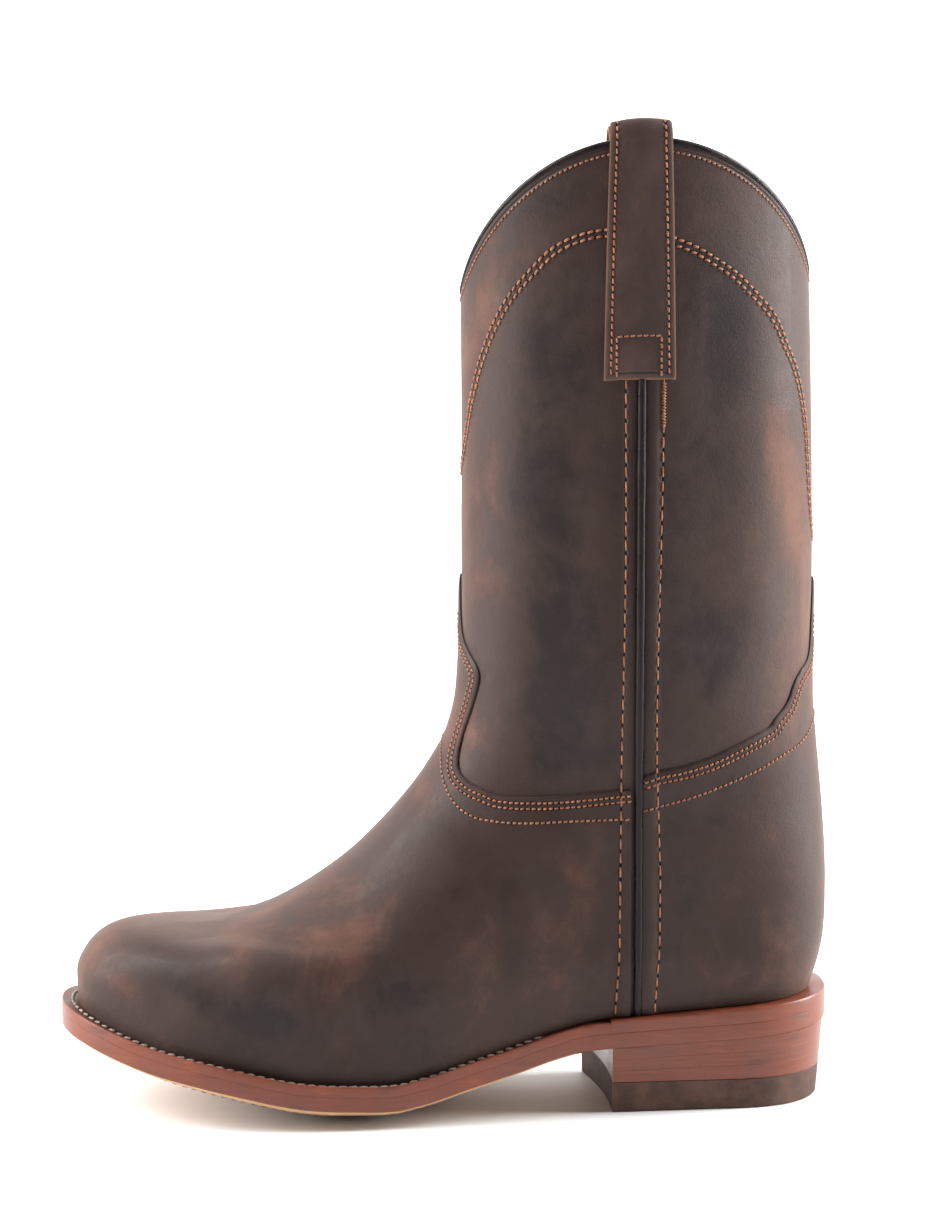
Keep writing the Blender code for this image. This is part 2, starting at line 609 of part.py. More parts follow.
def build_boot():
    for old in list(bpy.data.objects):
        bpy.data.objects.remove(old, do_unlink=True)
    upper_leather = leather_material("oiled brown leather", LEATHER, 0.62)
    dark_leather = leather_material("black edge leather", PIPING_BLACK, 0.38)
    sole_leather = leather_material("burnished sole leather", SOLE_LEATHER, 0.42)
    pale_leather = leather_material("insole leather", INSOLE_LEATHER, 0.7)
    rubber = leather_material("heel rubber", RUBBER, 0.8)
    build_upper(upper_leather)
    build_vamp_and_counter(upper_leather)
    build_binding(dark_leather)
    for side in (-1, 1):
        build_piping(side, dark_leather)
        build_strap(side, upper_leather)
    build_insole(pale_leather)
    build_welt(sole_leather)
    build_rand(sole_leather)
    build_outsole(sole_leather)
    build_heel(sole_leather, rubber)


build_boot()
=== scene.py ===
"""Looks of a left roper boot of oiled brown leather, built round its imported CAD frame."""
import math

import bmesh
import bpy
import numpy as np
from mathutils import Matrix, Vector, kdtree


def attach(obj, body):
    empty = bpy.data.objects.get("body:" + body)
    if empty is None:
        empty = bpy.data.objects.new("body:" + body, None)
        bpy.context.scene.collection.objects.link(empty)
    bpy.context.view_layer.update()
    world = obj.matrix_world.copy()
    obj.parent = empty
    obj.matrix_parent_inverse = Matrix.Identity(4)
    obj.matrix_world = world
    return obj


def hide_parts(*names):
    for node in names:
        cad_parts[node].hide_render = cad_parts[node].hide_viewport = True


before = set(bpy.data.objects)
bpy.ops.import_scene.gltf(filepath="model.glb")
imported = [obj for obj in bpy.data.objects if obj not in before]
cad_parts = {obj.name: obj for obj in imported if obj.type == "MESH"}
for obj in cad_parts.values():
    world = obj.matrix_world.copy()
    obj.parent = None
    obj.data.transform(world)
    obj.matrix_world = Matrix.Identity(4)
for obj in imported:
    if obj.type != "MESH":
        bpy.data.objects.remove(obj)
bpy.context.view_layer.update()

# The whole upper is shaped over one last. These tables and functions give its outer skin: a stack of
# loops from the feather line at the welt up to the scalloped topline, all in millimetres. The toe
# points to -X and the outer side of the left foot faces -Y.

MM = 0.001
WALL = 2.4
OVERLAY = 1.1
GAP, CURVED_GAP = 0.3, 0.45
OUTSOLE, WELT = 6.2, 4.0
RAND_FRONT, RAND_BACK = 4.7, 6.0
FLAT_HALF, CROWN_REACH = 17.0, 31.0
HEEL_BREAST, RAND_STEP, HEEL_END = 58.5, 6.0, 150.0
SPRING_START, SPRING_FADE, SPRING_EASE = -10.0, 30.0, 10.0
FOOT_ROUND, SHAFT_ROUND = 2.3, 2.0
COLLAR_RISE, DIP_SOFTNESS, SHAFT_TURN = 52.6, 0.20, 0.10
SEAM_X = 73.5

# The boot in plan, at places x along it.
PLAN = dict(
    x=(-150, -135, -115, -95, -75, -51, -26, -12, 5, 24, 40, 50, 55, 61, 105, 150),
    centre=(6.0, 6.0, 4.5, 2.5, 0.5, -1.5, -2.7, -3.5, -4.2, -4.3, -4.0, -3.6, -3.4, -3.0, 0.5, 3.8),
    feather=(40.0, 41.0, 42.5, 44.5, 46.0, 46.5, 44.0, 41.0, 37.0, 32.8, 30.4, 29.4, 29.1, 29.0, 29.5, 29.5),
    bulge=(41.0, 42.0, 44.5, 47.0, 48.5, 49.5, 47.6, 45.8, 43.0, 39.4, 36.6, 35.4, 35.2, 35.0, 34.0, 34.0),
    margin=(8.4, 7.8, 6.8, 6.5, 6.2, 6.0, 5.7, 5.3, 4.8, 4.4, 4.4, 4.5, 4.5, 4.6, 5.6, 8.5),
    crown=(0.0, 2.0, 4.0, 5.0, 5.2, 5.4, 5.4, 4.9, 4.0, 2.2, 0.9, 0.2, 0.1, 0.0, 0.0, 0.0),
    floor=(30.8, 25.4, 16.4, 9.6, 4.6, 0.0, 0.0, 3.4, 9.6, 16.2, 21.6, 24.1, 24.85, 25.15, 27.35, 29.6))

# The loops from the feather line up: their ends in front and behind, how round they are, how level, how much
# they belong to the shaft, and half widths.
LOOPS = dict(
    front_x=(-140.3, -140.5, -137.2, -130.5, -119.5, -105.0, -89.5, -73.0, -55.0, -35.5, -19.5, -6.8, 1.8,
             5.4, 6.4, 6.5, 6.4, 6.4, 6.2, 6.0),
    front_z=(42.0, 50.0, 58.5, 66.0, 70.8, 73.0, 73.5, 77.2, 86.0, 99.0, 113.5, 128.8, 144.0, 160.0, 180.0,
             205.0, 235.0, 265.0, 291.0, 311.5),
    back_x=(140.8, 143.2, 145.0, 146.2, 146.8, 147.0, 147.0, 146.8, 146.4, 145.8, 145.0, 143.9, 142.6,
            141.4, 141.2, 141.6, 141.3, 140.6, 139.8, 139.0),
    back_z=(42.6, 49.0, 55.5, 62.0, 69.0, 76.5, 84.0, 91.5, 99.5, 108.0, 117.5, 128.0, 141.0, 157.0, 178.0,
            204.0, 236.0, 268.0, 296.0, 318.5),
    toe_round=(62, 62, 62, 62, 60, 60, 64, 70, 76, 80, 80, 77, 73, 70, 68, 67.6, 67.5, 67.2, 66.9, 66.5),
    heel_round=(31.0, 31.5, 32.5, 34.0, 35.0, 36.0, 37.0, 39.0, 42.0, 46.0, 51.0, 57.0, 62.0, 66.0, 67.5,
                67.6, 67.5, 67.2, 66.9, 66.5),
    level=(0.00, 0.10, 0.22, 0.34, 0.46, 0.56, 0.64, 0.72, 0.80, 0.88, 0.94, 0.98, 1, 1, 1, 1, 1, 1, 1, 1),
    full=(0.00, 0.45, 0.80, 1, 1, 1, 1, 1, 1, 1, 1, 1, 1, 1, 1, 1, 1, 1, 1, 1),
    trunk=(0, 0, 0, 0.02, 0.05, 0.10, 0.17, 0.25, 0.36, 0.50, 0.65, 0.80, 0.92, 1, 1, 1, 1, 1, 1, 1),
    half=(34.0, 34.0, 34.0, 34.2, 34.6, 35.0, 35.5, 36.2, 37.0, 38.0, 39.3, 41.0, 43.0, 44.6, 46.0, 46.8,
          47.2, 47.6, 48.0, 48.3),
    lift=(0, 0, 0, 0, 0, 0, 0, 0, 0, 0, 0, 0, 0, 0, 0, 0.10, 0.30, 0.60, 0.85, 1.00))
TOP = len(LOOPS["front_x"]) - 1
TOE_X, HEEL_X = LOOPS["front_x"][0], LOOPS["back_x"][0]


def eased(places, values, where):
    """Values read along a smooth curve that never overshoots the table."""
    places, values = np.asarray(places, float), np.asarray(values, float)
    run = np.diff(places)
    slope = np.diff(values) / run
    tangent = np.zeros(len(places))
    steady = slope[:-1] * slope[1:] > 0
    before, after = 2 * run[1:] + run[:-1], run[1:] + 2 * run[:-1]
    tangent[1:-1][steady] = ((before + after)[steady]
                             / (before[steady] / slope[:-1][steady] + after[steady] / slope[1:][steady]))
    tangent[0], tangent[-1] = slope[0], slope[-1]
    where = np.clip(np.asarray(where, float), places[0], places[-1])
    k = np.clip(np.searchsorted(places, where, side="right") - 1, 0, len(run) - 1)
    u = (where - places[k]) / run[k]
    return (values[k] * (1 + 2 * u) * (1 - u) ** 2 + values[k + 1] * u * u * (3 - 2 * u)
            + run[k] * (tangent[k] * u * (1 - u) ** 2 - tangent[k + 1] * u * u * (1 - u)))


def plan(name, x):
    """A column of the plan table at this place along the boot."""
    return eased(PLAN["x"], PLAN[name], x)


def loop(name, row):
    """A column of the loop table at this row, which needn't be whole."""
    return eased(range(TOP + 1), LOOPS[name], row)


def round_end(depth, length, power=FOOT_ROUND, ease=0.0):
    """Share of the full width at this depth behind a round end, which may ease out further along."""
    left = 1 - np.clip(depth / (length * (1 + ease / 2)), 0, 1)
    return (1 - left ** (power + ease)) ** (1 / power)


def sole_bottom(x, y):
    """Height of the sole's underside. The toe spring is averaged over a short run, so it curves evenly."""
    out = np.maximum(0, np.abs(y - plan("centre", x)) - FLAT_HALF) / CROWN_REACH
    reach = SPRING_EASE * np.clip((SPRING_START - x) / SPRING_FADE, 0, 1)
    shares = (-1, -0.5, 0, 0.5, 1)
    floor = sum(plan("floor", x + reach * share) for share in shares) / len(shares)
    return floor + plan("crown", x) * out * out


def rand_height(x):
    """Thickness of the heel rand."""
    return RAND_FRONT + (RAND_BACK - RAND_FRONT) * (x - HEEL_BREAST) / (HEEL_END - HEEL_BREAST)


def deck_height(x, y):
    """Height of the welt's and the rand's top, where the upper stands."""
    step = np.clip((x - HEEL_BREAST + RAND_STEP) / RAND_STEP, 0, 1)
    return sole_bottom(x, y) + OUTSOLE + GAP + WELT + step * (rand_height(x) - WELT)


def feather_height(x):
    """Height of the upper's lowest edge, just over the deck."""
    rounded = round_end(x - TOE_X, LOOPS["toe_round"][0]) * round_end(HEEL_X - x, LOOPS["heel_round"][0])
    half = plan("feather", x) * rounded
    past = (OVERLAY + GAP) * (1 - rounded) * np.sign(TOE_X - x + LOOPS["toe_round"][0])
    return deck_height(x - past, plan("centre", x) + half + OVERLAY + GAP) + CURVED_GAP


def collar_lift(angle):
    """Share of the collar's rise: 0 at the front and the back and 1 at the sides."""
    soft = DIP_SOFTNESS
    return (np.sqrt(np.sin(angle) ** 2 + soft * soft) - soft) / (math.sqrt(1 + soft * soft) - soft)


LOW_FRONT, LOW_BACK = feather_height(np.array([TOE_X, HEEL_X]))


def skin(row, angle):
    """A point of the upper's outer face. The angle is 0 at the toe and pi at the heel, by the outer side."""
    row, angle = np.broadcast_arrays(np.asarray(row, float), np.asarray(angle, float))
    front_x, back_x = loop("front_x", row), loop("back_x", row)
    start = np.maximum(0, 1 - row)
    front_z = loop("front_z", row) + start * (LOW_FRONT - LOOPS["front_z"][0])
    back_z = loop("back_z", row) + start * (LOW_BACK - LOOPS["back_z"][0])
    along = (1 - np.cos(angle)) / 2
    x = front_x + along * (back_x - front_x)
    chord = LOW_FRONT + (LOW_BACK - LOW_FRONT) * (x - TOE_X) / (HEEL_X - TOE_X)
    z = (front_z + along * (back_z - front_z) + (1 - loop("level", row)) * (feather_height(x) - chord)
         + COLLAR_RISE * loop("lift", row) * collar_lift(angle))
    full, trunk = loop("full", row), loop("trunk", row)
    power = FOOT_ROUND * (1 - trunk) + SHAFT_ROUND * trunk
    foot_half = plan("feather", x) * (1 - full) + plan("bulge", x) * full
    half = foot_half * (1 - trunk) + loop("half", row) * trunk
    ease = np.clip((row - 3) / 2, 0, 1) * np.clip((13 - row) / 3, 0, 1)
    half = half * round_end(x - front_x, loop("toe_round", row), power, ease)
    half = half * round_end(back_x - x, loop("heel_round", row), power, ease)
    y = plan("centre", x) * (1 - trunk) - np.sign(np.sin(angle)) * half
    return np.stack([x + SHAFT_TURN * trunk * y, y, z], axis=-1)


def outward(row, angle, flat=None):
    """Unit normal of the skin, laid level where flat is true."""
    row, angle = np.broadcast_arrays(np.asarray(row, float), np.asarray(angle, float))
    step = 0.004
    up = skin(np.minimum(row + step, TOP), angle) - skin(np.maximum(row - step, 0), angle)
    normal = np.cross(skin(row, angle + step) - skin(row, angle - step), up)
    if flat is not None:
        normal[flat, 2] = 0
    return normal / np.maximum(np.linalg.norm(normal, axis=-1, keepdims=True), 1e-9)


LEAST_SIZE = 30.0


def find_on_skin(across, height, side, by_y=False):
    """Row and angle of the skin's point seen at this place from the side, or from the front with by_y."""
    across, height = np.atleast_1d(across).astype(float), np.atleast_1d(height).astype(float)
    rows = np.linspace(0, TOP, 230)[:, None]
    if by_y:
        angles = np.linspace(-0.5, 0.5, 200)[None, :] * math.pi
    else:
        start = 0.0 if side < 0 else math.pi
        angles = np.linspace(start, start + math.pi, 260)[None, :]
    grid = skin(rows, angles)

    def seen(point):
        flat = point[..., 1] if by_y else point[..., 0] - SHAFT_TURN * point[..., 1]
        return np.stack([flat, point[..., 2]], axis=-1)

    flat = seen(grid).reshape(-1, 2)
    row, angle = np.empty(len(across)), np.empty(len(across))
    for k, goal in enumerate(np.stack([across, height], axis=-1)):
        best = int(np.argmin(((flat - goal) ** 2).sum(axis=1)))
        row[k], angle[k] = rows[best // angles.shape[1], 0], angles[0, best % angles.shape[1]]
    for _ in range(4):
        here = seen(skin(row, angle))
        by_row = (seen(skin(row + 0.01, angle)) - here) / 0.01
        by_angle = (seen(skin(row, angle + 0.003)) - here) / 0.003
        miss = np.stack([across, height], axis=-1) - here
        size = by_row[:, 0] * by_angle[:, 1] - by_row[:, 1] * by_angle[:, 0]
        size = np.where(np.abs(size) < LEAST_SIZE, np.where(size < 0, -LEAST_SIZE, LEAST_SIZE), size)
        row = row + np.clip((miss[:, 0] * by_angle[:, 1] - miss[:, 1] * by_angle[:, 0]) / size, -0.15, 0.15)
        angle = angle + np.clip((by_row[:, 0] * miss[:, 1] - by_row[:, 1] * miss[:, 0]) / size, -0.03, 0.03)
        row = np.clip(row, 0, TOP)
    return row, angle


# Soft troughs and ridges in the leather, placed on each side of the boot: a line seen from the
# side, how wide it is and how far it stands out, in millimetres. The lasted leather lies almost smooth.
FOLDS = (
    # side, (x, z) from, (x, z) to, half width, height
    (-1, (-97, 73), (-84, 54), 9.0, -1.37),
    (-1, (-74, 80), (-58, 52), 12.0, 0.59),
    (-1, (-42, 96), (-30, 60), 10.0, -0.45),
    (-1, (-8, 122), (26, 96), 8.0, -0.72),
    (-1, (4, 132), (44, 108), 7.0, 0.45),
    (-1, (30, 86), (58, 70), 10.0, -0.45),
    (-1, (100, 96), (132, 88), 12.0, 0.52),
    (-1, (104, 120), (136, 116), 9.0, -0.59),
    (-1, (24, 156), (28, 300), 13.0, 0.72),
    (-1, (44, 150), (50, 262), 11.0, -0.78),
    (-1, (98, 168), (102, 300), 12.0, -0.72),
    (-1, (122, 190), (124, 300), 10.0, 0.59),
    (1, (-94, 72), (-78, 50), 9.0, -0.91),
    (1, (-68, 82), (-52, 54), 11.0, 0.52),
    (1, (-36, 98), (-22, 64), 10.0, -0.59),
    (1, (-6, 122), (30, 94), 8.0, -0.78),
    (1, (34, 90), (60, 74), 10.0, -0.39),
    (1, (106, 122), (138, 116), 9.0, -0.59),
    (1, (28, 160), (32, 290), 13.0, 0.65),
    (1, (50, 160), (52, 270), 11.0, -0.65),
    (1, (102, 170), (108, 296), 12.0, -0.65),
)
# Beside each seam the turned edges make two rolls: place from the seam and half width. Over the toe the stiff
# puff stands out, with a dip behind it: x, half width and height. It draws in at its two shoulders.
SEAM_ROLLS = ((-2.9, 2.1), (5.2, 2.5))
SEAM_ROLL_HEIGHT, SEAM_ROLL_TOP, SEAM_ROLL_FADE = 0.75, 292, 4
TOE_PUFF = ((-129, 15.0, 1.1), (-101, 9.0, -0.5))
PUFF_FOOT, PUFF_RISE = 26, 30
TOE_SHOULDER = dict(x=-116, half_x=30, z=49, half_z=10, half_y=36, height=-1.6)
SIDE_FADE = 3.2


def relief(row, angle):
    """How far the leather stands out from the last's smooth skin, mm."""
    point = skin(row, angle)
    x, z = point[..., 0] - SHAFT_TURN * point[..., 1], point[..., 2]
    side_of = -np.sign(np.sin(angle))
    near_side = np.minimum(1, np.abs(np.sin(angle)) * SIDE_FADE)
    total = np.zeros(x.shape)
    for side, start, end, half_width, height in FOLDS:
        run = np.subtract(end, start).astype(float)
        share = np.clip(((x - start[0]) * run[0] + (z - start[1]) * run[1]) / (run @ run), 0, 1)
        away = np.hypot(x - start[0] - share * run[0], z - start[1] - share * run[1]) / half_width
        total += np.where(side_of == side, near_side, 0) * height * np.exp(-away * away)
    rise = np.clip((z - PUFF_FOOT) / PUFF_RISE, 0, 1)
    for middle, half_width, height in TOE_PUFF:
        total += height * np.exp(-((x - middle) / half_width) ** 2) * rise * rise * (3 - 2 * rise)
    near = TOE_SHOULDER
    shoulder = np.exp(-((x - near["x"]) / near["half_x"]) ** 2 - ((z - near["z"]) / near["half_z"]) ** 2)
    total += near["height"] * shoulder * np.clip(np.abs(point[..., 1]) / near["half_y"], 0, 1) ** 2
    below_strap = 1 / (1 + np.exp((z - SEAM_ROLL_TOP) / SEAM_ROLL_FADE))
    for middle, half_width in SEAM_ROLLS:
        away = (x - SEAM_X - middle) / half_width
        total += SEAM_ROLL_HEIGHT * np.exp(-away ** 4) * below_strap
    return total


def leather_point(row, angle, proud=0.0):
    """A point this far outside the finished leather."""
    row, angle = np.broadcast_arrays(np.asarray(row, float), np.asarray(angle, float))
    level = (row <= 0) | (row >= TOP)
    return skin(row, angle) + (proud + relief(row, angle))[..., None] * outward(row, angle, level)


class Socket:
    """A shader value that can be written in sums."""

    def __init__(self, paint, link):
        self.paint, self.link = paint, link

    def sum(self, operation, first, second):
        return self.paint.node("Math", {"operation": operation}, {0: first, 1: second})

    def __add__(self, other):
        return self.sum("ADD", self, other)

    def __radd__(self, other):
        return self.sum("ADD", other, self)

    def __sub__(self, other):
        return self.sum("SUBTRACT", self, other)

    def __rsub__(self, other):
        return self.sum("SUBTRACT", other, self)

    def __mul__(self, other):
        return self.sum("MULTIPLY", self, other)

    def __rmul__(self, other):
        return self.sum("MULTIPLY", other, self)


class Paint:
    """A material and the nodes that make its finish."""

    def __init__(self, name, **shader_values):
        self.material = bpy.data.materials.new(name)
        self.material.use_nodes = True
        self.tree = self.material.node_tree
        self.shader = self.tree.nodes["Principled BSDF"]
        for socket, value in shader_values.items():
            self.shader.inputs[socket.replace("_", " ")].default_value = value
        place = self.node("TexCoord", give="Object")
        self.place = self.node("VectorMath", {"operation": "SCALE"}, {0: place, "Scale": 1000.0})

    def node(self, kind, settings=None, sockets=None, give=0):
        """Any node: its type, its settings, which come first, and the values or links of its sockets."""
        made = self.tree.nodes.new("ShaderNode" + kind)
        for setting, value in (settings or {}).items():
            setattr(made, setting, value)
        for socket, value in (sockets or {}).items():
            if isinstance(value, Socket):
                self.tree.links.new(value.link, made.inputs[socket])
            else:
                made.inputs[socket].default_value = value
        return Socket(self, made.outputs[give])

    def attribute(self, name):
        """A value that the mesh holds for each point."""
        return self.node("Attribute", {"attribute_name": name}, give="Fac")

    def stretched(self, x, y, z):
        """The place for a texture whose spots are stretched: a share under 1 makes them longer that way."""
        return self.node("VectorMath", {"operation": "MULTIPLY"}, {0: self.place, 1: (x, y, z)})

    def noise(self, size, detail=3.0, rough=0.55, place=None, twist=0.0):
        """Cloudy values about 0.5, with spots of this size in millimetres."""
        return self.node("TexNoise", None, {"Vector": place or self.place, "Scale": 1 / size,
                                            "Detail": detail, "Roughness": rough, "Distortion": twist})

    def cells(self, size):
        """0 in the middle of each pore and higher between them."""
        return self.node("TexVoronoi", {"feature": "F1"}, {"Vector": self.place, "Scale": 1 / size},
                         give="Distance")

    def between(self, value, low, high, start=0.0, end=1.0):
        """The value's place from low to high, eased and kept between start and end."""
        return self.node("MapRange", {"interpolation_type": "SMOOTHSTEP"},
                         {"Value": value, "From Min": low, "From Max": high, "To Min": start, "To Max": end})

    def line(self, distance, middle, half_width):
        """1 on a line at this distance and 0 beyond its half width."""
        off = self.node("Math", {"operation": "ABSOLUTE"}, {0: distance - middle})
        return self.between(off, half_width, 0.0)

    def colour(self, share, first, second):
        """The first colour where the share is 0 and the second where it is 1."""
        def rgba(value):
            return value if isinstance(value, Socket) else (*value, 1.0)
        return self.node("Mix", {"data_type": "RGBA", "blend_type": "MIX"},
                         {0: share, 6: rgba(first), 7: rgba(second)}, give=2)

    def clouded(self, cloud, low, high):
        """From low to high with a cloudy value. Both are colours, or both are numbers."""
        if isinstance(low, tuple):
            return self.colour(self.between(cloud, 0.3, 0.7), low, high)
        return self.between(cloud, 0.3, 0.7, low, high)

    def bump(self, height, below=None):
        """Relief in millimetres, over the relief below it."""
        sockets = {"Height": height, "Distance": MM, "Strength": 1.0}
        if below:
            sockets["Normal"] = below
        return self.node("Bump", None, sockets)

    def finish(self, **links):
        """The material, with these links to its shader."""
        for socket, value in links.items():
            self.tree.links.new(value.link, self.shader.inputs[socket.replace("_", " ")])
        return self.material


def add_piece(name, points, faces, materials, replaces=None, attributes=None, face_materials=None,
              sharp=40):
    """A piece from points in millimetres. attributes holds a value for each point, under each name."""
    points = np.asarray(points, float) * MM
    mesh = bpy.data.meshes.new(name)
    mesh.from_pydata(points.tolist(), [], faces if isinstance(faces, list) else faces.tolist())
    mesh.validate()
    form = bmesh.new()
    form.from_mesh(mesh)
    bmesh.ops.recalc_face_normals(form, faces=form.faces)
    form.to_mesh(mesh)
    form.free()
    for label, values in (attributes or {}).items():
        layer = mesh.attributes.new(label, "FLOAT", "POINT")
        layer.data.foreach_set("value", np.asarray(values, np.float32))
    for material in materials if isinstance(materials, list) else [materials]:
        mesh.materials.append(material)
    if face_materials is not None:
        mesh.polygons.foreach_set("material_index", np.asarray(face_materials, np.int32))
    mesh.shade_smooth()
    if sharp:
        mesh.set_sharp_from_angle(angle=math.radians(sharp))
    piece = bpy.data.objects.new(name, mesh)
    bpy.context.scene.collection.objects.link(piece)
    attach(piece, "root")
    if replaces:
        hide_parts(replaces)
    return piece


# The patina of the oiled leather: soft reddish spots where it was pulled over the last or rubbed, and dark
# ones that took more oil. Some of them are painted light and shade: the tall light strips along the shaft's
# front and back edges are painted highlights of the side light, and the tall dark ones in the middle of its
# panels are painted shade. Each is placed on one side of the boot: x, z, half sizes, lean and strength.
RUBBED_AND_LIT = (
    # side, x, z, half length, half height, lean in degrees, strength
    (-1, 22, 250, 9, 24, -14, 0.55), (-1, 14, 300, 6, 22, -24, 0.45), (-1, 20, 200, 12, 12, 20, 0.45),
    (-1, 132, 228, 7, 26, 6, 0.60), (-1, 126, 262, 8, 22, 16, 0.40), (-1, 44, 330, 14, 7, 24, 0.30),
    (-1, 8, 148, 7, 14, 0, 0.55), (-1, -6, 120, 12, 8, 50, 0.55), (-1, -78, 60, 24, 10, 30, 0.55),
    (-1, -32, 74, 22, 12, 40, 0.55), (-1, -110, 48, 26, 7, -12, 0.60), (-1, -126, 60, 10, 12, 40, 0.35),
    (-1, 40, 70, 24, 22, 0, 0.12), (-1, 50, 100, 30, 10, 0, 0.25), (-1, 134, 70, 9, 24, 0, 0.35),
    (-1, 112, 52, 26, 6, 0, 0.20), (-1, 30, 50, 30, 6, 16, 0.15), (-1, 96, 340, 14, 8, -24, 0.25),
    (-1, 110, 200, 14, 9, 24, 0.25), (-1, 58, 210, 7, 34, 0, 0.18), (-1, 88, 130, 20, 5, 8, 0.25),
    (-1, 124, 150, 12, 50, 0, 0.35), (-1, 122, 270, 12, 50, 0, 0.30), (-1, -60, 84, 26, 9, 38, 0.40),
    (-1, 10, 276, 10, 46, -6, 0.40), (-1, 136, 176, 8, 26, 0, 0.40),
    (1, 20, 240, 10, 30, -10, 0.50), (1, 128, 232, 8, 28, 8, 0.60), (1, -80, 58, 26, 12, 20, 0.55),
    (1, -30, 76, 24, 14, 40, 0.45), (1, -116, 50, 22, 9, -10, 0.50), (1, 44, 84, 26, 22, 0, 0.35),
    (1, 134, 74, 9, 26, 0, 0.45), (1, 80, 280, 20, 14, 10, 0.25),
)
OILED_AND_SHADED = (
    (-1, -96, 50, 22, 9, 4, 0.75), (-1, -64, 42, 20, 7, -10, 0.60), (-1, 44, 186, 16, 44, 0, 0.80),
    (-1, 100, 180, 16, 26, 0, 0.60), (-1, 108, 300, 16, 34, 14, 0.65), (-1, 86, 100, 16, 30, 0, 0.40),
    (-1, 38, 262, 18, 40, -6, 0.50), (-1, 54, 140, 18, 7, 0, 0.55), (-1, 40, 344, 16, 8, 24, 0.55),
    (-1, -20, 52, 20, 8, 20, 0.40), (-1, 112, 130, 14, 8, 20, 0.40), (-1, 92, 232, 12, 30, 0, 0.30),
    (1, -94, 50, 24, 10, 0, 0.70), (1, 46, 190, 14, 40, 0, 0.60), (1, 104, 190, 16, 30, 0, 0.55),
    (1, 108, 300, 16, 34, 14, 0.55), (1, 88, 100, 16, 30, 0, 0.45), (1, -20, 56, 20, 9, 20, 0.40),
)


def patina_and_light(row, angle):
    """-1 where oil and painted shade darken the leather most, and 1 where rubbing and painted highlights make
    it reddish.
    """
    point = skin(row, angle)
    x, z = point[..., 0] - SHAFT_TURN * point[..., 1], point[..., 2]
    side_of = -np.sign(np.sin(angle))
    total = np.zeros(x.shape)
    for sign, spots in ((1, RUBBED_AND_LIT), (-1, OILED_AND_SHADED)):
        for side, at_x, at_z, half_x, half_z, lean, strength in spots:
            turn = math.radians(lean)
            across = (x - at_x) * math.cos(turn) + (z - at_z) * math.sin(turn)
            up = (z - at_z) * math.cos(turn) - (x - at_x) * math.sin(turn)
            spot = np.exp(-(across / half_x) ** 2 - (up / half_z) ** 2)
            total += np.where(side_of == side, sign * strength * spot, 0)
    return np.clip(total, -1, 1)


# The leather's tones, from darkest to a light reddish brown. The patina spots also use them as painted shade
# and painted highlights.
DARKEST_BROWN = (0.0125, 0.0074, 0.0066)
BROWN = (0.0310, 0.0165, 0.0136)
LIGHT_REDDISH_BROWN = (0.1180, 0.0500, 0.0310)
GREY_BLOOM = (0.0760, 0.0570, 0.0530)


BLOOM = 0.12
# GROOVE_SHADE is how strongly painted shade darkens the leather in a sewn groove.
GROOVE_HALF, GROOVE_DEPTH, GROOVE_SHADE = 0.75, 0.30, 0.45
CUT_EDGE_BROWN = (0.014, 0.008, 0.006)


def napped_paint(name):
    """A paint with the soft warm sheen of nubuck."""
    return Paint(name, Specular_IOR_Level=0.22, Sheen_Weight=0.22, Sheen_Roughness=0.40,
                 Sheen_Tint=(1.0, 0.58, 0.42, 1.0))


def oiled_leather(name, stitch_rows, cut_edge=None):
    """Oiled leather with a fine nubuck nap. stitch_rows: (attribute, distance) of each sewn groove, sunk and
    darkened with painted shade.
    """
    paint = napped_paint(name)
    # The patina attribute holds painted highlights and painted shade as well as the rubbed and oiled spots.
    spots = paint.attribute("patina_and_light")
    clouds = paint.noise(26.0, 4.0, 0.62, paint.stretched(1.0, 1.0, 0.62), twist=0.6)
    mottle = paint.noise(6.5, 5.0, 0.66, twist=0.4)
    specks = paint.noise(1.1, 3.0, 0.7)
    tone = spots + (clouds - 0.5) * 2.0 + (mottle - 0.5) * 0.72 + (specks - 0.5) * 0.28
    colour = paint.colour(paint.between(tone, -0.75, 0.02), DARKEST_BROWN, BROWN)
    colour = paint.colour(paint.between(tone, 0.02, 1.30), colour, LIGHT_REDDISH_BROWN)
    haze = paint.noise(15.0, 4.0, 0.6, paint.stretched(1.0, 1.0, 0.8), twist=1.0)
    colour = paint.colour(paint.between(haze, 0.46, 0.78, 0.0, BLOOM), colour, GREY_BLOOM)
    lines = [paint.line(paint.attribute(row), distance, GROOVE_HALF) for row, distance in stitch_rows]
    grooves = lines[0]
    for line in lines[1:]:
        grooves = paint.node("Math", {"operation": "MAXIMUM"}, {0: grooves, 1: line})
    # Painted shade: the leather is darkened along each sewn groove.
    colour = paint.colour(grooves * GROOVE_SHADE, colour, DARKEST_BROWN)
    if cut_edge:
        edge = paint.between(paint.attribute(cut_edge), 0.75, 0.15)
        colour = paint.colour(edge * 0.85, colour, CUT_EDGE_BROWN)
    pores = paint.cells(0.62)
    nap = paint.noise(0.45, 4.0, 0.7)
    wrinkles = paint.noise(2.6, 4.0, 0.6, twist=0.8)
    rough = paint.between(tone, -0.8, 0.9, 0.50, 0.68) + (nap - 0.5) * 0.16
    height = pores * 0.035 + (nap - 0.5) * 0.050 + (wrinkles - 0.5) * 0.10
    normal = paint.bump(grooves * -GROOVE_DEPTH, paint.bump(height))
    coat = paint.between(mottle, 0.35, 0.75, 0.0, 0.04)
    return paint.finish(Base_Color=colour, Roughness=rough, Coat_Weight=coat, Normal=normal)


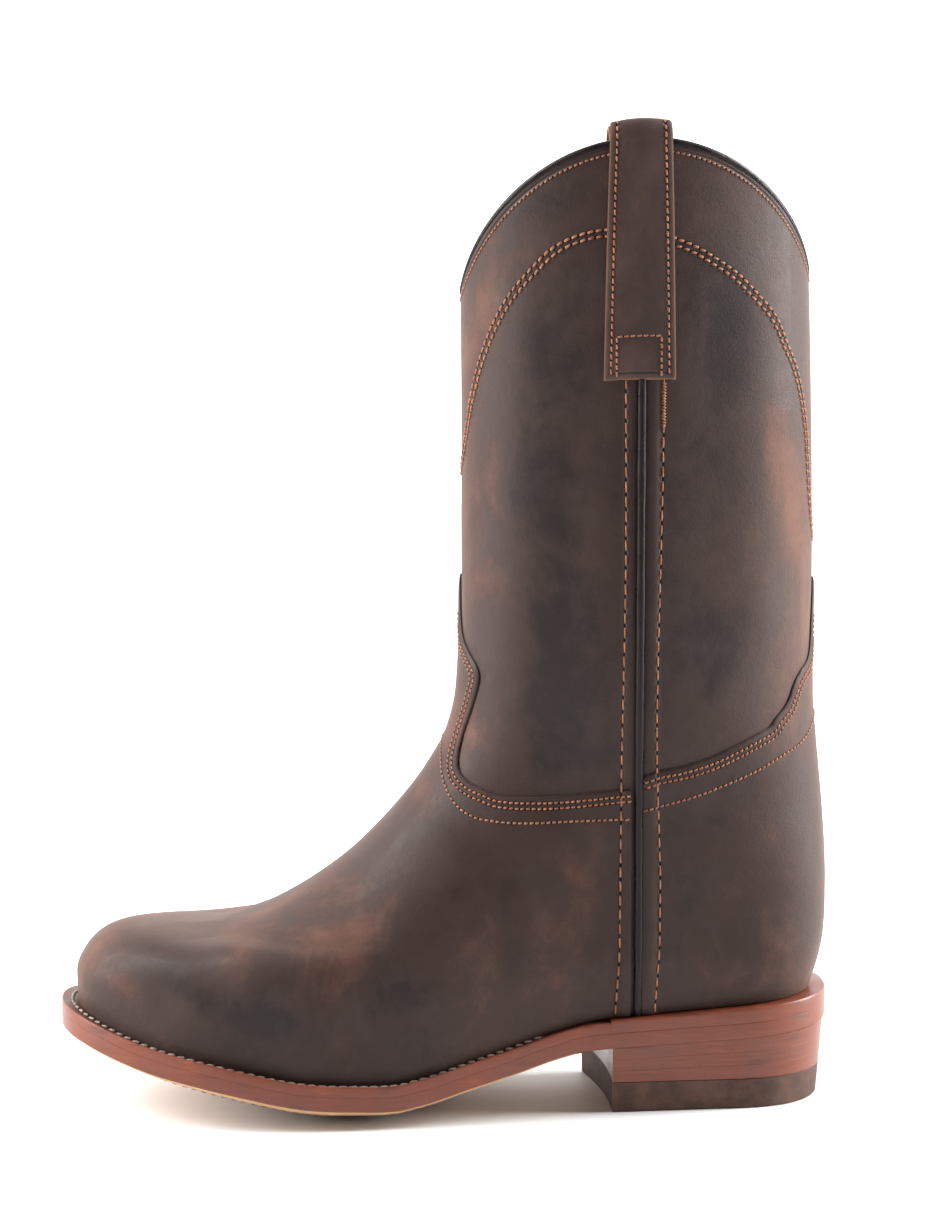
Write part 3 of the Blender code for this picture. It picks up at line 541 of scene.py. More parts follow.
# Curves on the leather, such as a stitch row or a cut edge. A curve holds rows and angles of the skin.
def smooth_run(marks, step):
    """A smooth line through marks in any number of columns, evenly spaced along its length."""
    marks = np.asarray(marks, float)
    place = np.concatenate([[0], np.cumsum(np.hypot(*np.diff(marks[:, :2], axis=0).T))])
    fine = np.linspace(0, place[-1], max(8, int(place[-1] / step)))
    led_on = np.concatenate([[2 * marks[0] - marks[1]], marks, [2 * marks[-1] - marks[-2]]])
    apart = np.concatenate([[2 * place[1]], place[2:] - place[:-2], [2 * (place[-1] - place[-2])]])
    slope = (led_on[2:] - led_on[:-2]) / np.maximum(1e-9, apart)[:, None]
    k = np.clip(np.searchsorted(place, fine, side="right") - 1, 0, len(marks) - 2)
    run = (place[k + 1] - place[k])[:, None]
    u = (fine - place[k])[:, None] / run
    return (marks[k] * (1 + 2 * u) * (1 - u) ** 2 + marks[k + 1] * u * u * (3 - 2 * u)
            + run * (slope[k] * u * (1 - u) ** 2 - slope[k + 1] * u * u * (1 - u)))


def lengths_along(points):
    """How far along the line of points each one lies, in millimetres."""
    return np.concatenate([[0], np.cumsum(np.linalg.norm(np.diff(points, axis=0), axis=1))])


def unit(vectors):
    """The same directions at length 1."""
    return vectors / np.linalg.norm(vectors, axis=-1, keepdims=True)


def even_curve(rows, angles, step=0.5):
    """The same curve with points this far apart on the leather."""
    place = lengths_along(skin(rows, angles))
    fine = np.linspace(0, place[-1], max(4, int(place[-1] / step)))
    return np.interp(fine, place, rows), np.interp(fine, place, angles)


MOVES = 3


def moved_curve(rows, angles, distance):
    """The curve moved sideways over the leather, to the left of its run as seen from outside."""
    for _ in range(MOVES):
        rows, angles = even_curve(rows, angles, 1.0)
        run = np.gradient(skin(rows, angles), axis=0)
        left = unit(np.cross(outward(rows, angles), run)) * distance / MOVES
        by_row = (skin(rows + 0.01, angles) - skin(rows - 0.01, angles)) / 0.02
        by_angle = (skin(rows, angles + 0.004) - skin(rows, angles - 0.004)) / 0.008
        aa, bb, ab = (by_row ** 2).sum(1), (by_angle ** 2).sum(1), (by_row * by_angle).sum(1)
        ra, rb = (left * by_row).sum(1), (left * by_angle).sum(1)
        size = aa * bb - ab * ab
        rows = np.clip(rows + (ra * bb - rb * ab) / size, 0, TOP)
        angles = angles + (rb * aa - ra * ab) / size
        keep = np.concatenate([[True], np.linalg.norm(np.diff(skin(rows, angles), axis=0), axis=1) > 0.25])
        rows, angles = rows[keep], angles[keep]
    return even_curve(rows, angles)


def seam_angle(rows, side, shift=0.0):
    """Angle at which each loop crosses the side seam, or a line beside it."""
    rows = np.atleast_1d(np.asarray(rows, float))
    angles = np.linspace(0.12, 0.88, 160) * math.pi
    angles = angles if side < 0 else 2 * math.pi - angles
    points = skin(rows[:, None], angles[None, :])
    off = points[..., 0] - SEAM_X - shift - SHAFT_TURN * points[..., 1]
    return np.array([np.interp(0, line, angles) for line in off])


# The shaft: front and back panels and the lining, sewn at the sides into one tall tube with a scalloped
# topline. The leather is about 1.3 mm thick over a 1 mm lining and reaches down under vamp and counter.
SHAFT_COLUMNS = 320
TOPLINE_ROW = 3.0
ARC_ROW = 1.15
FAR = 50.0
ARCS_FROM = 225
ARC_FRONT = ((6.8, 246), (8.8, 258), (11, 271), (14.6, 285), (20, 299), (26.8, 311), (34.4, 320),
             (41.6, 327), (49, 331), (56.5, 333.2), (63, 334))
ARC_BACK = ((84, 331.5), (94, 327.5), (101.6, 323), (109, 318), (116.2, 311), (123.6, 302), (128.2, 292),
            (132.3, 283), (135.6, 271), (137.6, 258), (138.4, 248))


def side_curve(marks, side):
    """A curve on one side of the boot through marks seen from the side."""
    fine = smooth_run(marks, 2.0)
    return even_curve(*find_on_skin(fine[:, 0], fine[:, 1], side))


def nearest(curves, points):
    """Distance from each point to the curves, with the place on them."""
    lines = np.concatenate([skin(*curve) for curve in curves])
    tree = kdtree.KDTree(len(lines))
    for k, point in enumerate(lines):
        tree.insert(point, k)
    tree.balance()
    found = [tree.find(point) for point in points]
    return np.array([each[2] for each in found]), np.array([each[1] for each in found])


def grid_faces(count, width, closed):
    """Faces of a grid of rows, closed round the boot or open."""
    index = np.arange(count * width).reshape(count, width)
    after = np.roll(index, -1, axis=1) if closed else index[:, 1:]
    here = index if closed else index[:, :-1]
    return np.stack([here[:-1], after[:-1], after[1:], here[1:]], axis=-1).reshape(-1, 4)


# The stitch rows beside the side seam: how far each lies from the seam at these heights.
SEAM_ROW_HEIGHTS = (41, 64, 91, 126, 153, 183, 214, 245, 280)
FRONT_SEAM_ROW = (-7.6, -6.2, -6.1, -5.7, -5.3, -4.8, -4.5, -4.6, -4.9)
BACK_SEAM_ROW = (7.6, 9.2, 9.3, 7.8, 7.3, 7.7, 8.4, 9.0, 9.2)
SEAM_ROW_END = 283


def seam_row_distance(points, shifts):
    """Distance of each point from a stitch row beside the side seam."""
    off = points[:, 0] - SHAFT_TURN * points[:, 1] - SEAM_X
    away = off - np.interp(points[:, 2], SEAM_ROW_HEIGHTS, shifts)
    return np.where(points[:, 2] < SEAM_ROW_END, away, np.where(off < 0, -FAR, FAR))


def to_middle(curve, from_start, length):
    """The curve led on to the middle of the boot's front or back, more level as it nears it."""
    rows, angles = curve if from_start else (curve[0][::-1], curve[1][::-1])
    goal = min((0.0, math.pi, 2 * math.pi), key=lambda middle: abs(angles[0] - middle))
    share = np.linspace(1, 0, 40)[:-1]
    slope = (rows[8] - rows[0]) / (angles[8] - angles[0])
    more_angles = angles[0] + (goal - angles[0]) * share
    more_rows = rows[0] + slope * (goal - angles[0]) * length * (1 - np.exp(-share / length))
    rows, angles = even_curve(np.concatenate([more_rows, rows]), np.concatenate([more_angles, angles]))
    return (rows, angles) if from_start else (rows[::-1], angles[::-1])


arcs = [to_middle(side_curve(marks, side), from_start, length) for side in (-1, 1)
        for marks, from_start, length in ((ARC_FRONT, True, 0.8), (ARC_BACK, False, 0.32))]
shaft_rows = np.concatenate([np.linspace(0, 9.4, 26)[:-1], np.linspace(9.4, TOP, 196)])
lining_rows = np.linspace(TOP, 0, 44)
turns = np.linspace(0, 2 * math.pi, SHAFT_COLUMNS, endpoint=False)
turns = turns + 0.14 * np.sin(2 * turns)
outer = leather_point(shaft_rows[:, None], turns[None, :])
inner = leather_point(lining_rows[:, None], turns[None, :], -WALL)
shaft_points = np.concatenate([outer.reshape(-1, 3), inner.reshape(-1, 3)])
shaft_faces = grid_faces(len(shaft_rows) + len(lining_rows), SHAFT_COLUMNS, True)
high = np.flatnonzero(shaft_points[:, 2] > ARCS_FROM)
arc_distance = np.full(len(shaft_points), FAR)
arc_distance[high] = nearest(arcs, shaft_points[high])[0]
collar_distance = np.full(len(shaft_points), FAR)
topline = (np.full(1400, float(TOP)), np.linspace(0, 2 * math.pi, 1400))
collar_distance[high] = nearest([topline], shaft_points[high])[0]
# The patina holds painted light and shade as well as real rubbing and oil.
shaft_tone_and_light = np.concatenate([patina_and_light(shaft_rows[:, None], turns[None, :]).ravel(),
                               np.zeros(inner.shape[0] * inner.shape[1])])
shaft_leather = oiled_leather("shaft leather", (("arc", ARC_ROW), ("collar", TOPLINE_ROW), ("front_row", 0.0),
                                                ("back_row", 0.0)))

lining = Paint("pigskin lining", Roughness=0.82, Specular_IOR_Level=0.25)
lining_tone = lining.noise(9.0, 4.0, 0.6)
lining_pores = lining.cells(1.5)
lining_leather = lining.finish(
    Base_Color=lining.clouded(lining_tone, (0.050, 0.033, 0.026), (0.085, 0.060, 0.048)),
    Roughness=lining.clouded(lining_tone, 0.74, 0.88),
    Normal=lining.bump(lining_pores * 0.10 + lining.noise(0.7) * 0.12))
in_lining = np.arange(len(shaft_faces)) >= len(shaft_rows) * SHAFT_COLUMNS
add_piece("boot_shaft", shaft_points, shaft_faces, [shaft_leather, lining_leather], "upper",
          {"arc": arc_distance, "collar": collar_distance, "patina_and_light": shaft_tone_and_light,
           "front_row": seam_row_distance(shaft_points, FRONT_SEAM_ROW),
           "back_row": seam_row_distance(shaft_points, BACK_SEAM_ROW)}, in_lining)


# The vamp covers the foot and rises as a tongue at the front of the shaft, and the counter covers the heel
# with a tongue at the back. Both are cut from 1.2 mm leather, skived at the edge and sewn on in rows.
VAMP_TONGUE = ((0.0, 203.5), (-1.6, 197), (-3.4, 190), (-8.5, 181), (-15, 175.5), (-20.0, 171.2),
               (-22.0, 167), (-19.6, 157), (-18.2, 150), (-17.6, 143.5), (-19.4, 137), (-23.0, 131),
               (-28.0, 126.6), (-32.0, 124.3))
VAMP_SIDE = ((20, 123.3), (28, 122.9), (42, 123.3), (53.4, 124.3), (63, 125.4), (71.4, 126.3))
COUNTER_SIDE = ((75.6, 131.2), (81, 132.9), (90.6, 134.6), (101.3, 137.6), (110.0, 141.2), (119.5, 145.4),
                (124.5, 147.6))
COUNTER_TONGUE = ((-28.4, 150.8), (-25.2, 154.2), (-22.8, 158.5), (-20.6, 163.5), (-16.4, 167.6),
                  (-10.2, 170.8), (-6.6, 175.5), (-4.6, 182), (-3.0, 190), (-1.4, 197), (0.0, 201.5))
INNER_TONGUE = 0.92
SLOT = 2.1
# How far the overlay stands out at these distances from its cut edge.
EDGE_STEPS = ((0.0, 0.55), (0.5, 0.95), (1.1, 1.22), (1.9, 1.32))
OVERLAY_TOP = EDGE_STEPS[-1][1]
OVERLAY_SUNK = 0.25
BEYOND_SEAM = 0.8
PANEL_ROWS = (2.4, 4.5)
OVERLAY_LAST_ROW = 15.6


def pattern_edge(tongue, side_marks, side, back=False):
    """The cut edge on one side, from the middle of the tongue to the seam."""
    turned = -INNER_TONGUE if side > 0 else 1
    fine = smooth_run(np.multiply(tongue, (turned, 1)), 1.5)
    if back:
        rows, angles = find_on_back(fine[:, 0], fine[:, 1])
    else:
        rows, angles = find_on_skin(fine[:, 0], fine[:, 1], side, by_y=True)
    run = smooth_run(side_marks, 2.0)
    more_rows, more_angles = find_on_skin(run[:, 0], run[:, 1], side)
    if back:
        more_rows, more_angles = more_rows[::-1], more_angles[::-1]
    else:
        more_angles = np.where(more_angles > math.pi, more_angles - 2 * math.pi, more_angles)
    rows, angles = np.concatenate([rows, more_rows]), np.concatenate([angles, more_angles])
    return softened(*even_curve(rows, angles, 1.0))


def find_on_back(across, height):
    """Row and angle of the skin's point at this sideways place on the boot's back."""
    angles = math.pi + np.linspace(-0.5, 0.5, 400) * math.pi
    rows = np.linspace(0, TOP, 700)
    middle = skin(rows, math.pi)[:, 2]
    row = np.interp(height, middle, rows)
    angle = np.empty(len(row))
    for _ in range(3):
        for k in range(len(row)):
            line = skin(row[k], angles)
            angle[k] = np.interp(across[k], line[:, 1], angles)
        here = skin(row, angle)[:, 2]
        row = row + (height - here) / ((skin(row + 0.02, angle)[:, 2] - here) / 0.02)
    return row, angle


def softened(rows, angles):
    """The curve with its small kinks eased. Its ends stay."""
    for _ in range(3):
        rows[1:-1] = (rows[:-2] + 2 * rows[1:-1] + rows[2:]) / 4
        angles[1:-1] = (angles[:-2] + 2 * angles[1:-1] + angles[2:]) / 4
    return even_curve(rows, angles)


def inside_pattern(rows, angles, outline_rows, outline_angles):
    """True where a point of the skin lies inside the closed outline, by counting the edges it is left of."""
    inside = np.zeros(rows.shape, bool)
    ahead_rows, ahead_angles = np.roll(outline_rows, -1), np.roll(outline_angles, -1)
    for r0, a0, r1, a1 in zip(outline_rows, outline_angles, ahead_rows, ahead_angles):
        if r0 != r1:
            crosses = (r0 > rows) != (r1 > rows)
            inside ^= crosses & (angles < (a1 - a0) * (rows - r0) / (r1 - r0) + a0)
    return inside


def overlay_proud(distance):
    """How far the overlay stands out at this distance from its cut edge."""
    return np.interp(distance, *zip(*EDGE_STEPS))


def add_overlay(name, node, rows, angles, edge):
    """A piece of leather on the shaft. Its grid is cut along the edge curve, whose ends are its corners."""
    count, width = rows.shape
    past = BEYOND_SEAM * np.sign(edge[1][-1] - edge[1][0])
    outline_rows = np.concatenate([edge[0], [edge[0][-1], -1, -1, edge[0][0]]])
    outline_angles = np.concatenate([edge[1], edge[1][[-1, -1, 0, 0]] + past * np.array([1, 1, -1, -1])])
    flat_rows, flat_angles = rows.ravel().copy(), angles.ravel().copy()
    inside = inside_pattern(flat_rows, flat_angles, outline_rows, outline_angles)
    points = skin(flat_rows, flat_angles)
    distance, place = nearest([edge], points)
    quads = grid_faces(count, width, False)
    quads = quads[inside[quads].any(axis=1)]
    used = np.zeros(len(inside), bool)
    used[quads] = True
    snapped = used & ~inside
    flat_rows[snapped], flat_angles[snapped] = edge[0][place[snapped]], edge[1][place[snapped]]
    distance[snapped] = 0.0
    for corner_row, corner_angle in ((edge[0][0], edge[1][0]), (edge[0][-1], edge[1][-1])):
        corner = skin(corner_row, corner_angle)
        best = np.flatnonzero(used)[np.argmin(((points[used] - corner) ** 2).sum(axis=1))]
        flat_rows[best], flat_angles[best], distance[best] = corner_row, corner_angle, 0.0
    number = np.full(len(inside), -1)
    number[used] = np.arange(used.sum())
    quads = number[quads]
    flat_rows, flat_angles, distance = flat_rows[used], flat_angles[used], distance[used]
    sides = np.concatenate([quads[:, [k, (k + 1) % 4]] for k in range(4)])
    _, first, times = np.unique(np.sort(sides, axis=1), axis=0, return_index=True, return_counts=True)
    rim = sides[first[times == 1]]
    rim = rim[rim[:, 0] != rim[:, 1]]
    rim_points = np.unique(rim)
    lower = np.full(len(flat_rows), -1)
    lower[rim_points] = len(flat_rows) + np.arange(len(rim_points))
    top = leather_point(flat_rows, flat_angles, overlay_proud(distance))
    foot = leather_point(flat_rows[rim_points], flat_angles[rim_points], -OVERLAY_SUNK)
    walls = np.stack([rim[:, 1], rim[:, 0], lower[rim[:, 0]], lower[rim[:, 1]]], axis=1)
    all_points = np.concatenate([top, foot])
    values = {"edge": np.concatenate([distance, np.zeros(len(rim_points))]),
              "patina_and_light": patina_and_light(np.concatenate([flat_rows, flat_rows[rim_points]]),
                               np.concatenate([flat_angles, flat_angles[rim_points]])),
              "front_row": seam_row_distance(all_points, FRONT_SEAM_ROW),
              "back_row": seam_row_distance(all_points, BACK_SEAM_ROW)}
    rows_sewn = (("edge", PANEL_ROWS[0]), ("edge", PANEL_ROWS[1]), ("front_row", 0.0), ("back_row", 0.0))
    leather = oiled_leather(name + " leather", rows_sewn, "edge")
    faces = [tuple(dict.fromkeys(face)) for face in np.concatenate([quads, walls]).tolist()]
    faces = [face for face in faces if len(face) > 2]
    add_piece(name, all_points, faces, leather, node, values)


def length_rows(low, high, count, angle):
    """Rows that are evenly spaced along the skin at this angle."""
    fine = np.linspace(low, high, 1200)
    place = lengths_along(skin(fine, angle))
    return np.interp(np.linspace(0, place[-1], count), place, fine)


def joined_halves(first, second):
    """One curve from the end of the first half to the end of the second. Both start in the middle."""
    return even_curve(*(np.concatenate([one[::-1], other[1:]]) for one, other in zip(first, second)))


vamp_inner_edge, vamp_outer_edge = (pattern_edge(VAMP_TONGUE, VAMP_SIDE, side) for side in (1, -1))
vamp_edge = joined_halves(vamp_inner_edge, vamp_outer_edge)
vamp_rows = length_rows(0, OVERLAY_LAST_ROW, 170, 0.0)
share = np.linspace(-1, 1, 301)[None, :]
vamp_outer = seam_angle(vamp_rows, -1, -SLOT)[:, None]
vamp_inner = seam_angle(vamp_rows, 1, -SLOT)[:, None] - 2 * math.pi
vamp_angles = np.where(share > 0, share * vamp_outer, -share * vamp_inner)
vamp_grid = np.broadcast_to(vamp_rows[:, None], vamp_angles.shape)
add_overlay("foot_vamp", "vamp", vamp_grid, vamp_angles, vamp_edge)

counter_outer_edge, counter_inner_edge = (
    pattern_edge(COUNTER_TONGUE[::-1], COUNTER_SIDE, side, back=True) for side in (-1, 1))
counter_edge = joined_halves(counter_outer_edge, counter_inner_edge)
counter_rows = length_rows(0, OVERLAY_LAST_ROW, 120, math.pi)
share = np.linspace(0, 1, 201)[None, :]
counter_outer = seam_angle(counter_rows, -1, SLOT)[:, None]
counter_inner = seam_angle(counter_rows, 1, SLOT)[:, None]
counter_angles = counter_outer + share * (counter_inner - counter_outer)
counter_grid = np.broadcast_to(counter_rows[:, None], counter_angles.shape)
add_overlay("heel_counter", "counter", counter_grid, counter_angles, counter_edge)


# The sewing: waxed rust-brown thread in even lockstitches. Each row is laid on the leather in its own
# groove, and every stitch arches a little and dives into its needle holes at both ends.
THREAD_BROWN = (0.300, 0.130, 0.072)
FINE_PITCH, ARC_PITCH, SEAM_PITCH = 2.12, 3.1, 5.5
# A stitch dives and thins by these shares at its ends and is a little flat. Its rings lie at RING_PLACES,
# which are shares of its half length.
STITCH_DIVE, STITCH_THIN, STITCH_FLAT = 1.7, 0.35, 0.85
RING_PLACES = (-1.0, -0.86, -0.5, 0.0, 0.5, 0.86, 1.0)
RING_SIDES = 7
HOLE_SIDES = 8

thread_paint = Paint("rust thread", Roughness=0.55, Specular_IOR_Level=0.35)
thread_tone = thread_paint.noise(3.4, 2.0)
thread = thread_paint.finish(
    Base_Color=thread_paint.clouded(thread_tone, (0.190, 0.066, 0.032), THREAD_BROWN),
    Roughness=thread_paint.clouded(thread_tone, 0.48, 0.64),
    Normal=thread_paint.bump(
        thread_paint.noise(0.28, 2.0, place=thread_paint.stretched(1.0, 1.0, 0.5)) * 0.09))


def read_at(at, place, values):
    """Points or normals of a line, read at these lengths along it."""
    return np.stack([np.interp(at, place, values[:, k]) for k in range(3)], axis=-1)


def stitches_in(place, pitch):
    """How many stitches of about this pitch fill the line."""
    return max(1, int(round(place[-1] / pitch)))


def stitches_along(points, normals, pitch, length, width, height, lean):
    """Stitches at an even pitch on a line, turned by lean degrees: their points, one's faces, their count."""
    place = lengths_along(points)
    count = stitches_in(place, pitch)
    at = (np.arange(count) + 0.5) * place[-1] / count
    middle, out = read_at(at, place, points), unit(read_at(at, place, normals))
    ahead = read_at(at + 0.4, place, points) - read_at(at - 0.4, place, points)
    ahead = unit(ahead - (ahead * out).sum(1)[:, None] * out)
    across = np.cross(out, ahead)
    turn = math.radians(lean)
    ahead, across = (ahead * math.cos(turn) + across * math.sin(turn),
                     across * math.cos(turn) - ahead * math.sin(turn))
    rings = []
    for share in RING_PLACES:
        lift = height * (1 - STITCH_DIVE * share ** 4)
        thick = width / 2 * (1 - STITCH_THIN * share ** 4)
        heart = middle + ahead * share * length / 2 + out * lift
        for k in range(RING_SIDES):
            angle = 2 * math.pi * k / RING_SIDES
            rings.append(heart + across * thick * math.cos(angle)
                         + out * thick * STITCH_FLAT * math.sin(angle))
    return np.stack(rings, axis=1).reshape(-1, 3), bar_faces(len(RING_PLACES), RING_SIDES), count


def bar_faces(rows, columns):
    """Faces of a bar of rings, closed at both ends."""
    faces = [tuple(face) for face in grid_faces(rows, columns, True).tolist()]
    return faces + [tuple(reversed(range(columns))), tuple((rows - 1) * columns + j for j in range(columns))]


def paint_hole_shade(name, lines, pitch, half_length, half_width, over):
    """Dark discs of painted shade at the needle holes between the stitches of these rows, joined into one
    piece.
    """
    points, faces = [], []
    for line, normals in lines:
        place = lengths_along(line)
        count = stitches_in(place, pitch)
        at = (np.arange(count + 1) * place[-1] / count)[1:-1]
        middle, out = read_at(at, place, line), read_at(at, place, normals)
        ahead = unit(read_at(at + 0.4, place, line) - read_at(at - 0.4, place, line))
        across = np.cross(out, ahead)
        for k in range(len(at)):
            faces.append(tuple(range(len(points), len(points) + HOLE_SIDES)))
            for j in range(HOLE_SIDES):
                turn = 2 * math.pi * j / HOLE_SIDES
                points.append(middle[k] + out[k] * over + ahead[k] * half_length * math.cos(turn)
                              + across[k] * half_width * math.sin(turn))
    add_piece(name, np.array(points), faces, needle_hole_shade, sharp=None)


# The needle holes are flat dark discs: painted shade where the holes fall into shadow.
hole_shade_paint = Paint("painted needle hole shade", Roughness=0.9, Specular_IOR_Level=0.1)
needle_hole_shade = hole_shade_paint.finish(Base_Color=hole_shade_paint.colour(hole_shade_paint.noise(0.8), (0.004, 0.002, 0.0015),
                                                             (0.014, 0.007, 0.005)))


HOLE_OVERLAP = 0.22


def sew(name, lines, pitch, length, width, height, lean, over=None, material=thread):
    """Rows of stitches joined into one piece. With over, discs of painted shade at the needle holes too, at
    this height over the lines.
    """
    if over is not None:
        paint_hole_shade(name + "_hole_shade", lines, pitch, (pitch - length) / 2 + HOLE_OVERLAP, width * 0.5, over)
    points, faces, start = [], [], 0
    for line, normals in lines:
        block, pattern, count = stitches_along(line, normals, pitch, length, width, height, lean)
        for first in range(start, start + len(block), len(block) // count):
            faces += [tuple(corner + first for corner in face) for face in pattern]
        start += len(block)
        points.append(block)
    add_piece(name, np.concatenate(points), faces, material, sharp=None)


def on_leather(curve, proud):
    """A curve's points at this height over the leather, with their normals."""
    rows, angles = curve
    return leather_point(rows, angles, proud), outward(rows, angles)


CUT_STEP = 0.5
NECK = 1.1


def cut_short(curve, start, end):
    """The curve without this many millimetres at its two ends."""
    rows, angles = even_curve(*curve, CUT_STEP)
    kept = slice(int(start / CUT_STEP), len(rows) - int(end / CUT_STEP))
    return rows[kept], angles[kept]


# The third row of each panel lies further in. Its marks are seen from the front or the back in the tongue,
# and from the side further on.
VAMP_THIRD = ((0.0, 141.0), (-5.7, 138.6), (-14.0, 133.2), (-19.8, 127.2), (-25.5, 121.3), (-30.1, 116.7))
VAMP_THIRD_SIDE = ((13.8, 114.1), (28.2, 113.0), (50.0, 114.0), (71.0, 114.7))
COUNTER_THIRD_SIDE = ((76.0, 118.0), (95.9, 123.0), (111.9, 128.7), (121, 132.4))
COUNTER_THIRD = ((-27.3, 136.2), (-18.4, 140.5), (-8.0, 146.6), (0.0, 149.5))
ROW_END = 0.4
STITCH_SUNK, PANEL_SUNK = 0.15, 0.22


def split_at_neck(curve, middle):
    """A row in two halves, which stop where they would cross in the narrow neck of a tongue."""
    rows, angles = curve
    away = np.linalg.norm(skin(rows, angles) - skin(rows, np.full(len(rows), middle)), axis=1)
    close = np.flatnonzero(away < NECK)
    return [(rows[:close[0]], angles[:close[0]]), (rows[close[-1] + 1:], angles[close[-1] + 1:])]


panel_rows = []
for distance in PANEL_ROWS:
    for edge, middle in ((vamp_edge, 0.0), (counter_edge, math.pi)):
        panel_rows += split_at_neck(cut_short(moved_curve(*edge, -distance), ROW_END, ROW_END), middle)
for side in (-1, 1):
    panel_rows.append(pattern_edge(VAMP_THIRD, VAMP_THIRD_SIDE, side))
    panel_rows.append(pattern_edge(COUNTER_THIRD[::-1], COUNTER_THIRD_SIDE, side, back=True))
sew("panel_stitches", [on_leather(curve, OVERLAY_TOP - PANEL_SUNK) for curve in panel_rows], FINE_PITCH,
    length=1.75, width=0.80, height=0.32, lean=10.0, over=0.26)
arc_rows = [moved_curve(*curve, distance) for curve in arcs for distance in (-ARC_ROW, ARC_ROW)]
sew("arc_stitches", [on_leather(curve, -STITCH_SUNK) for curve in arc_rows], ARC_PITCH,
    length=2.6, width=0.98, height=0.34, lean=9.0, over=0.19)
topline_row = moved_curve(*topline, -TOPLINE_ROW)
sew("topline_stitches", [on_leather(topline_row, -STITCH_SUNK)], FINE_PITCH,
    length=1.7, width=0.72, height=0.28, lean=9.0, over=0.19)


SEAM_FOOT, SEAM_TOP, TACK_FOOT, TACK_TOP = 38, 282, 262, 280
VAMP_CREST, COUNTER_CREST, CREST_FADE = 127.5, 132.0, 0.6


def seam_row(side, front, low, high):
    """The stitch row before or behind the side seam, between two heights, with its normals."""
    shifts, crest = (FRONT_SEAM_ROW, VAMP_CREST) if front else (BACK_SEAM_ROW, COUNTER_CREST)
    rows = np.linspace(0.05, 17.2, 400)
    angles = seam_angle(rows, side)
    shift = np.interp(skin(rows, angles)[:, 2], SEAM_ROW_HEIGHTS, shifts)
    pace = np.linalg.norm(skin(rows, angles + 0.01) - skin(rows, angles), axis=1)
    angles = angles - side * shift / pace * 0.01
    heights = skin(rows, angles)[:, 2]
    keep = (heights > low) & (heights < high)
    rows, angles, heights = rows[keep], angles[keep], heights[keep]
    proud = OVERLAY_TOP / (1 + np.exp((heights - crest) / CREST_FADE))
    return leather_point(rows, angles, proud - STITCH_SUNK), outward(rows, angles)


seam_lines = [seam_row(side, front, SEAM_FOOT, SEAM_TOP) for side in (-1, 1) for front in (True, False)]
sew("side_seam_stitches", seam_lines, SEAM_PITCH, length=4.3, width=0.76, height=0.24, lean=1.5, over=0.22)
tack_lines = [seam_row(side, False, TACK_FOOT, TACK_TOP) for side in (-1, 1)]
sew("bar_tacks", [(line + normals * 0.12, normals) for line, normals in tack_lines], pitch=1.1,
    length=1.9, width=0.8, height=0.42, lean=62.0)


# The side piping: a thin roll of black glazed leather sewn into each side seam, from the welt to the strap.
PIPING_HALF = (1.55, 1.35)
PIPING_SHIFT, PIPING_PROUD = 0.9, (0.75, 0.35)
PIPING_SIDES = 14
glazed_paint = Paint("black glazed leather", Specular_IOR_Level=0.14, Coat_Roughness=0.25)
glazed_tone = glazed_paint.noise(7.0, 4.0)
glazed_leather = glazed_paint.finish(
    Base_Color=glazed_paint.colour(glazed_paint.between(glazed_tone, 0.3, 0.75), (0.009, 0.006, 0.0055),
                                   (0.016, 0.011, 0.0105)),
    Roughness=glazed_paint.clouded(glazed_tone, 0.26, 0.44),
    Coat_Weight=glazed_paint.clouded(glazed_tone, 0.06, 0.0),
    Normal=glazed_paint.bump(glazed_paint.noise(0.8, 3.0) * 0.07 + glazed_paint.noise(4.5) * 0.25))


def add_piping(name, node, side):
    """The roll in one side seam, a little uneven along its length. It ends under the strap's foot."""
    rows = length_rows(0.06, 16.62, 230, seam_angle(8.0, side)[0])
    angles = seam_angle(rows, side, PIPING_SHIFT)
    heart = leather_point(rows, angles, PIPING_PROUD[0])
    out = outward(rows, angles)
    across = unit(np.cross(np.gradient(heart, axis=0), out))
    turn = np.arange(PIPING_SIDES) * 2 * math.pi / PIPING_SIDES
    along = np.arange(len(rows))
    waver = 1 + 0.05 * np.sin(along * 0.23) * np.sin(along * 0.071)
    wide, high = np.cos(turn) * PIPING_HALF[0], np.sin(turn) * PIPING_HALF[1] + PIPING_PROUD[1]
    rings = (heart[:, None] + across[:, None] * wide[None, :, None] * waver[:, None, None]
             + out[:, None] * high[None, :, None])
    add_piece(name, rings.reshape(-1, 3), bar_faces(len(rows), PIPING_SIDES), glazed_leather,
              node)


add_piping("outer_piping", "piping_outer", -1)
add_piping("inner_piping", "piping_inner", 1)


# The beading: a narrow strip of the same black leather folded over the topline and closed by the topline row.
# Its section runs round the fold: share of the half width outwards, and millimetres over the leather's edge.
BEADING_HALF = 1.42
BEADING_SECTION = ((1.0, -1.5), (1.08, -1.1), (1.10, -0.3), (0.98, 0.4), (0.66, 0.9), (0.0, 1.12),
                   (-0.66, 0.9), (-0.98, 0.4), (-1.10, -0.3), (-1.08, -1.1), (-1.0, -1.5))
BEADING_COLUMNS = 420


def closing_faces(rows, columns):
    """Faces that join the last ring of a tube to its first."""
    last = (rows - 1) * columns
    return [[last + j, last + (j + 1) % columns, (j + 1) % columns, j] for j in range(columns)]


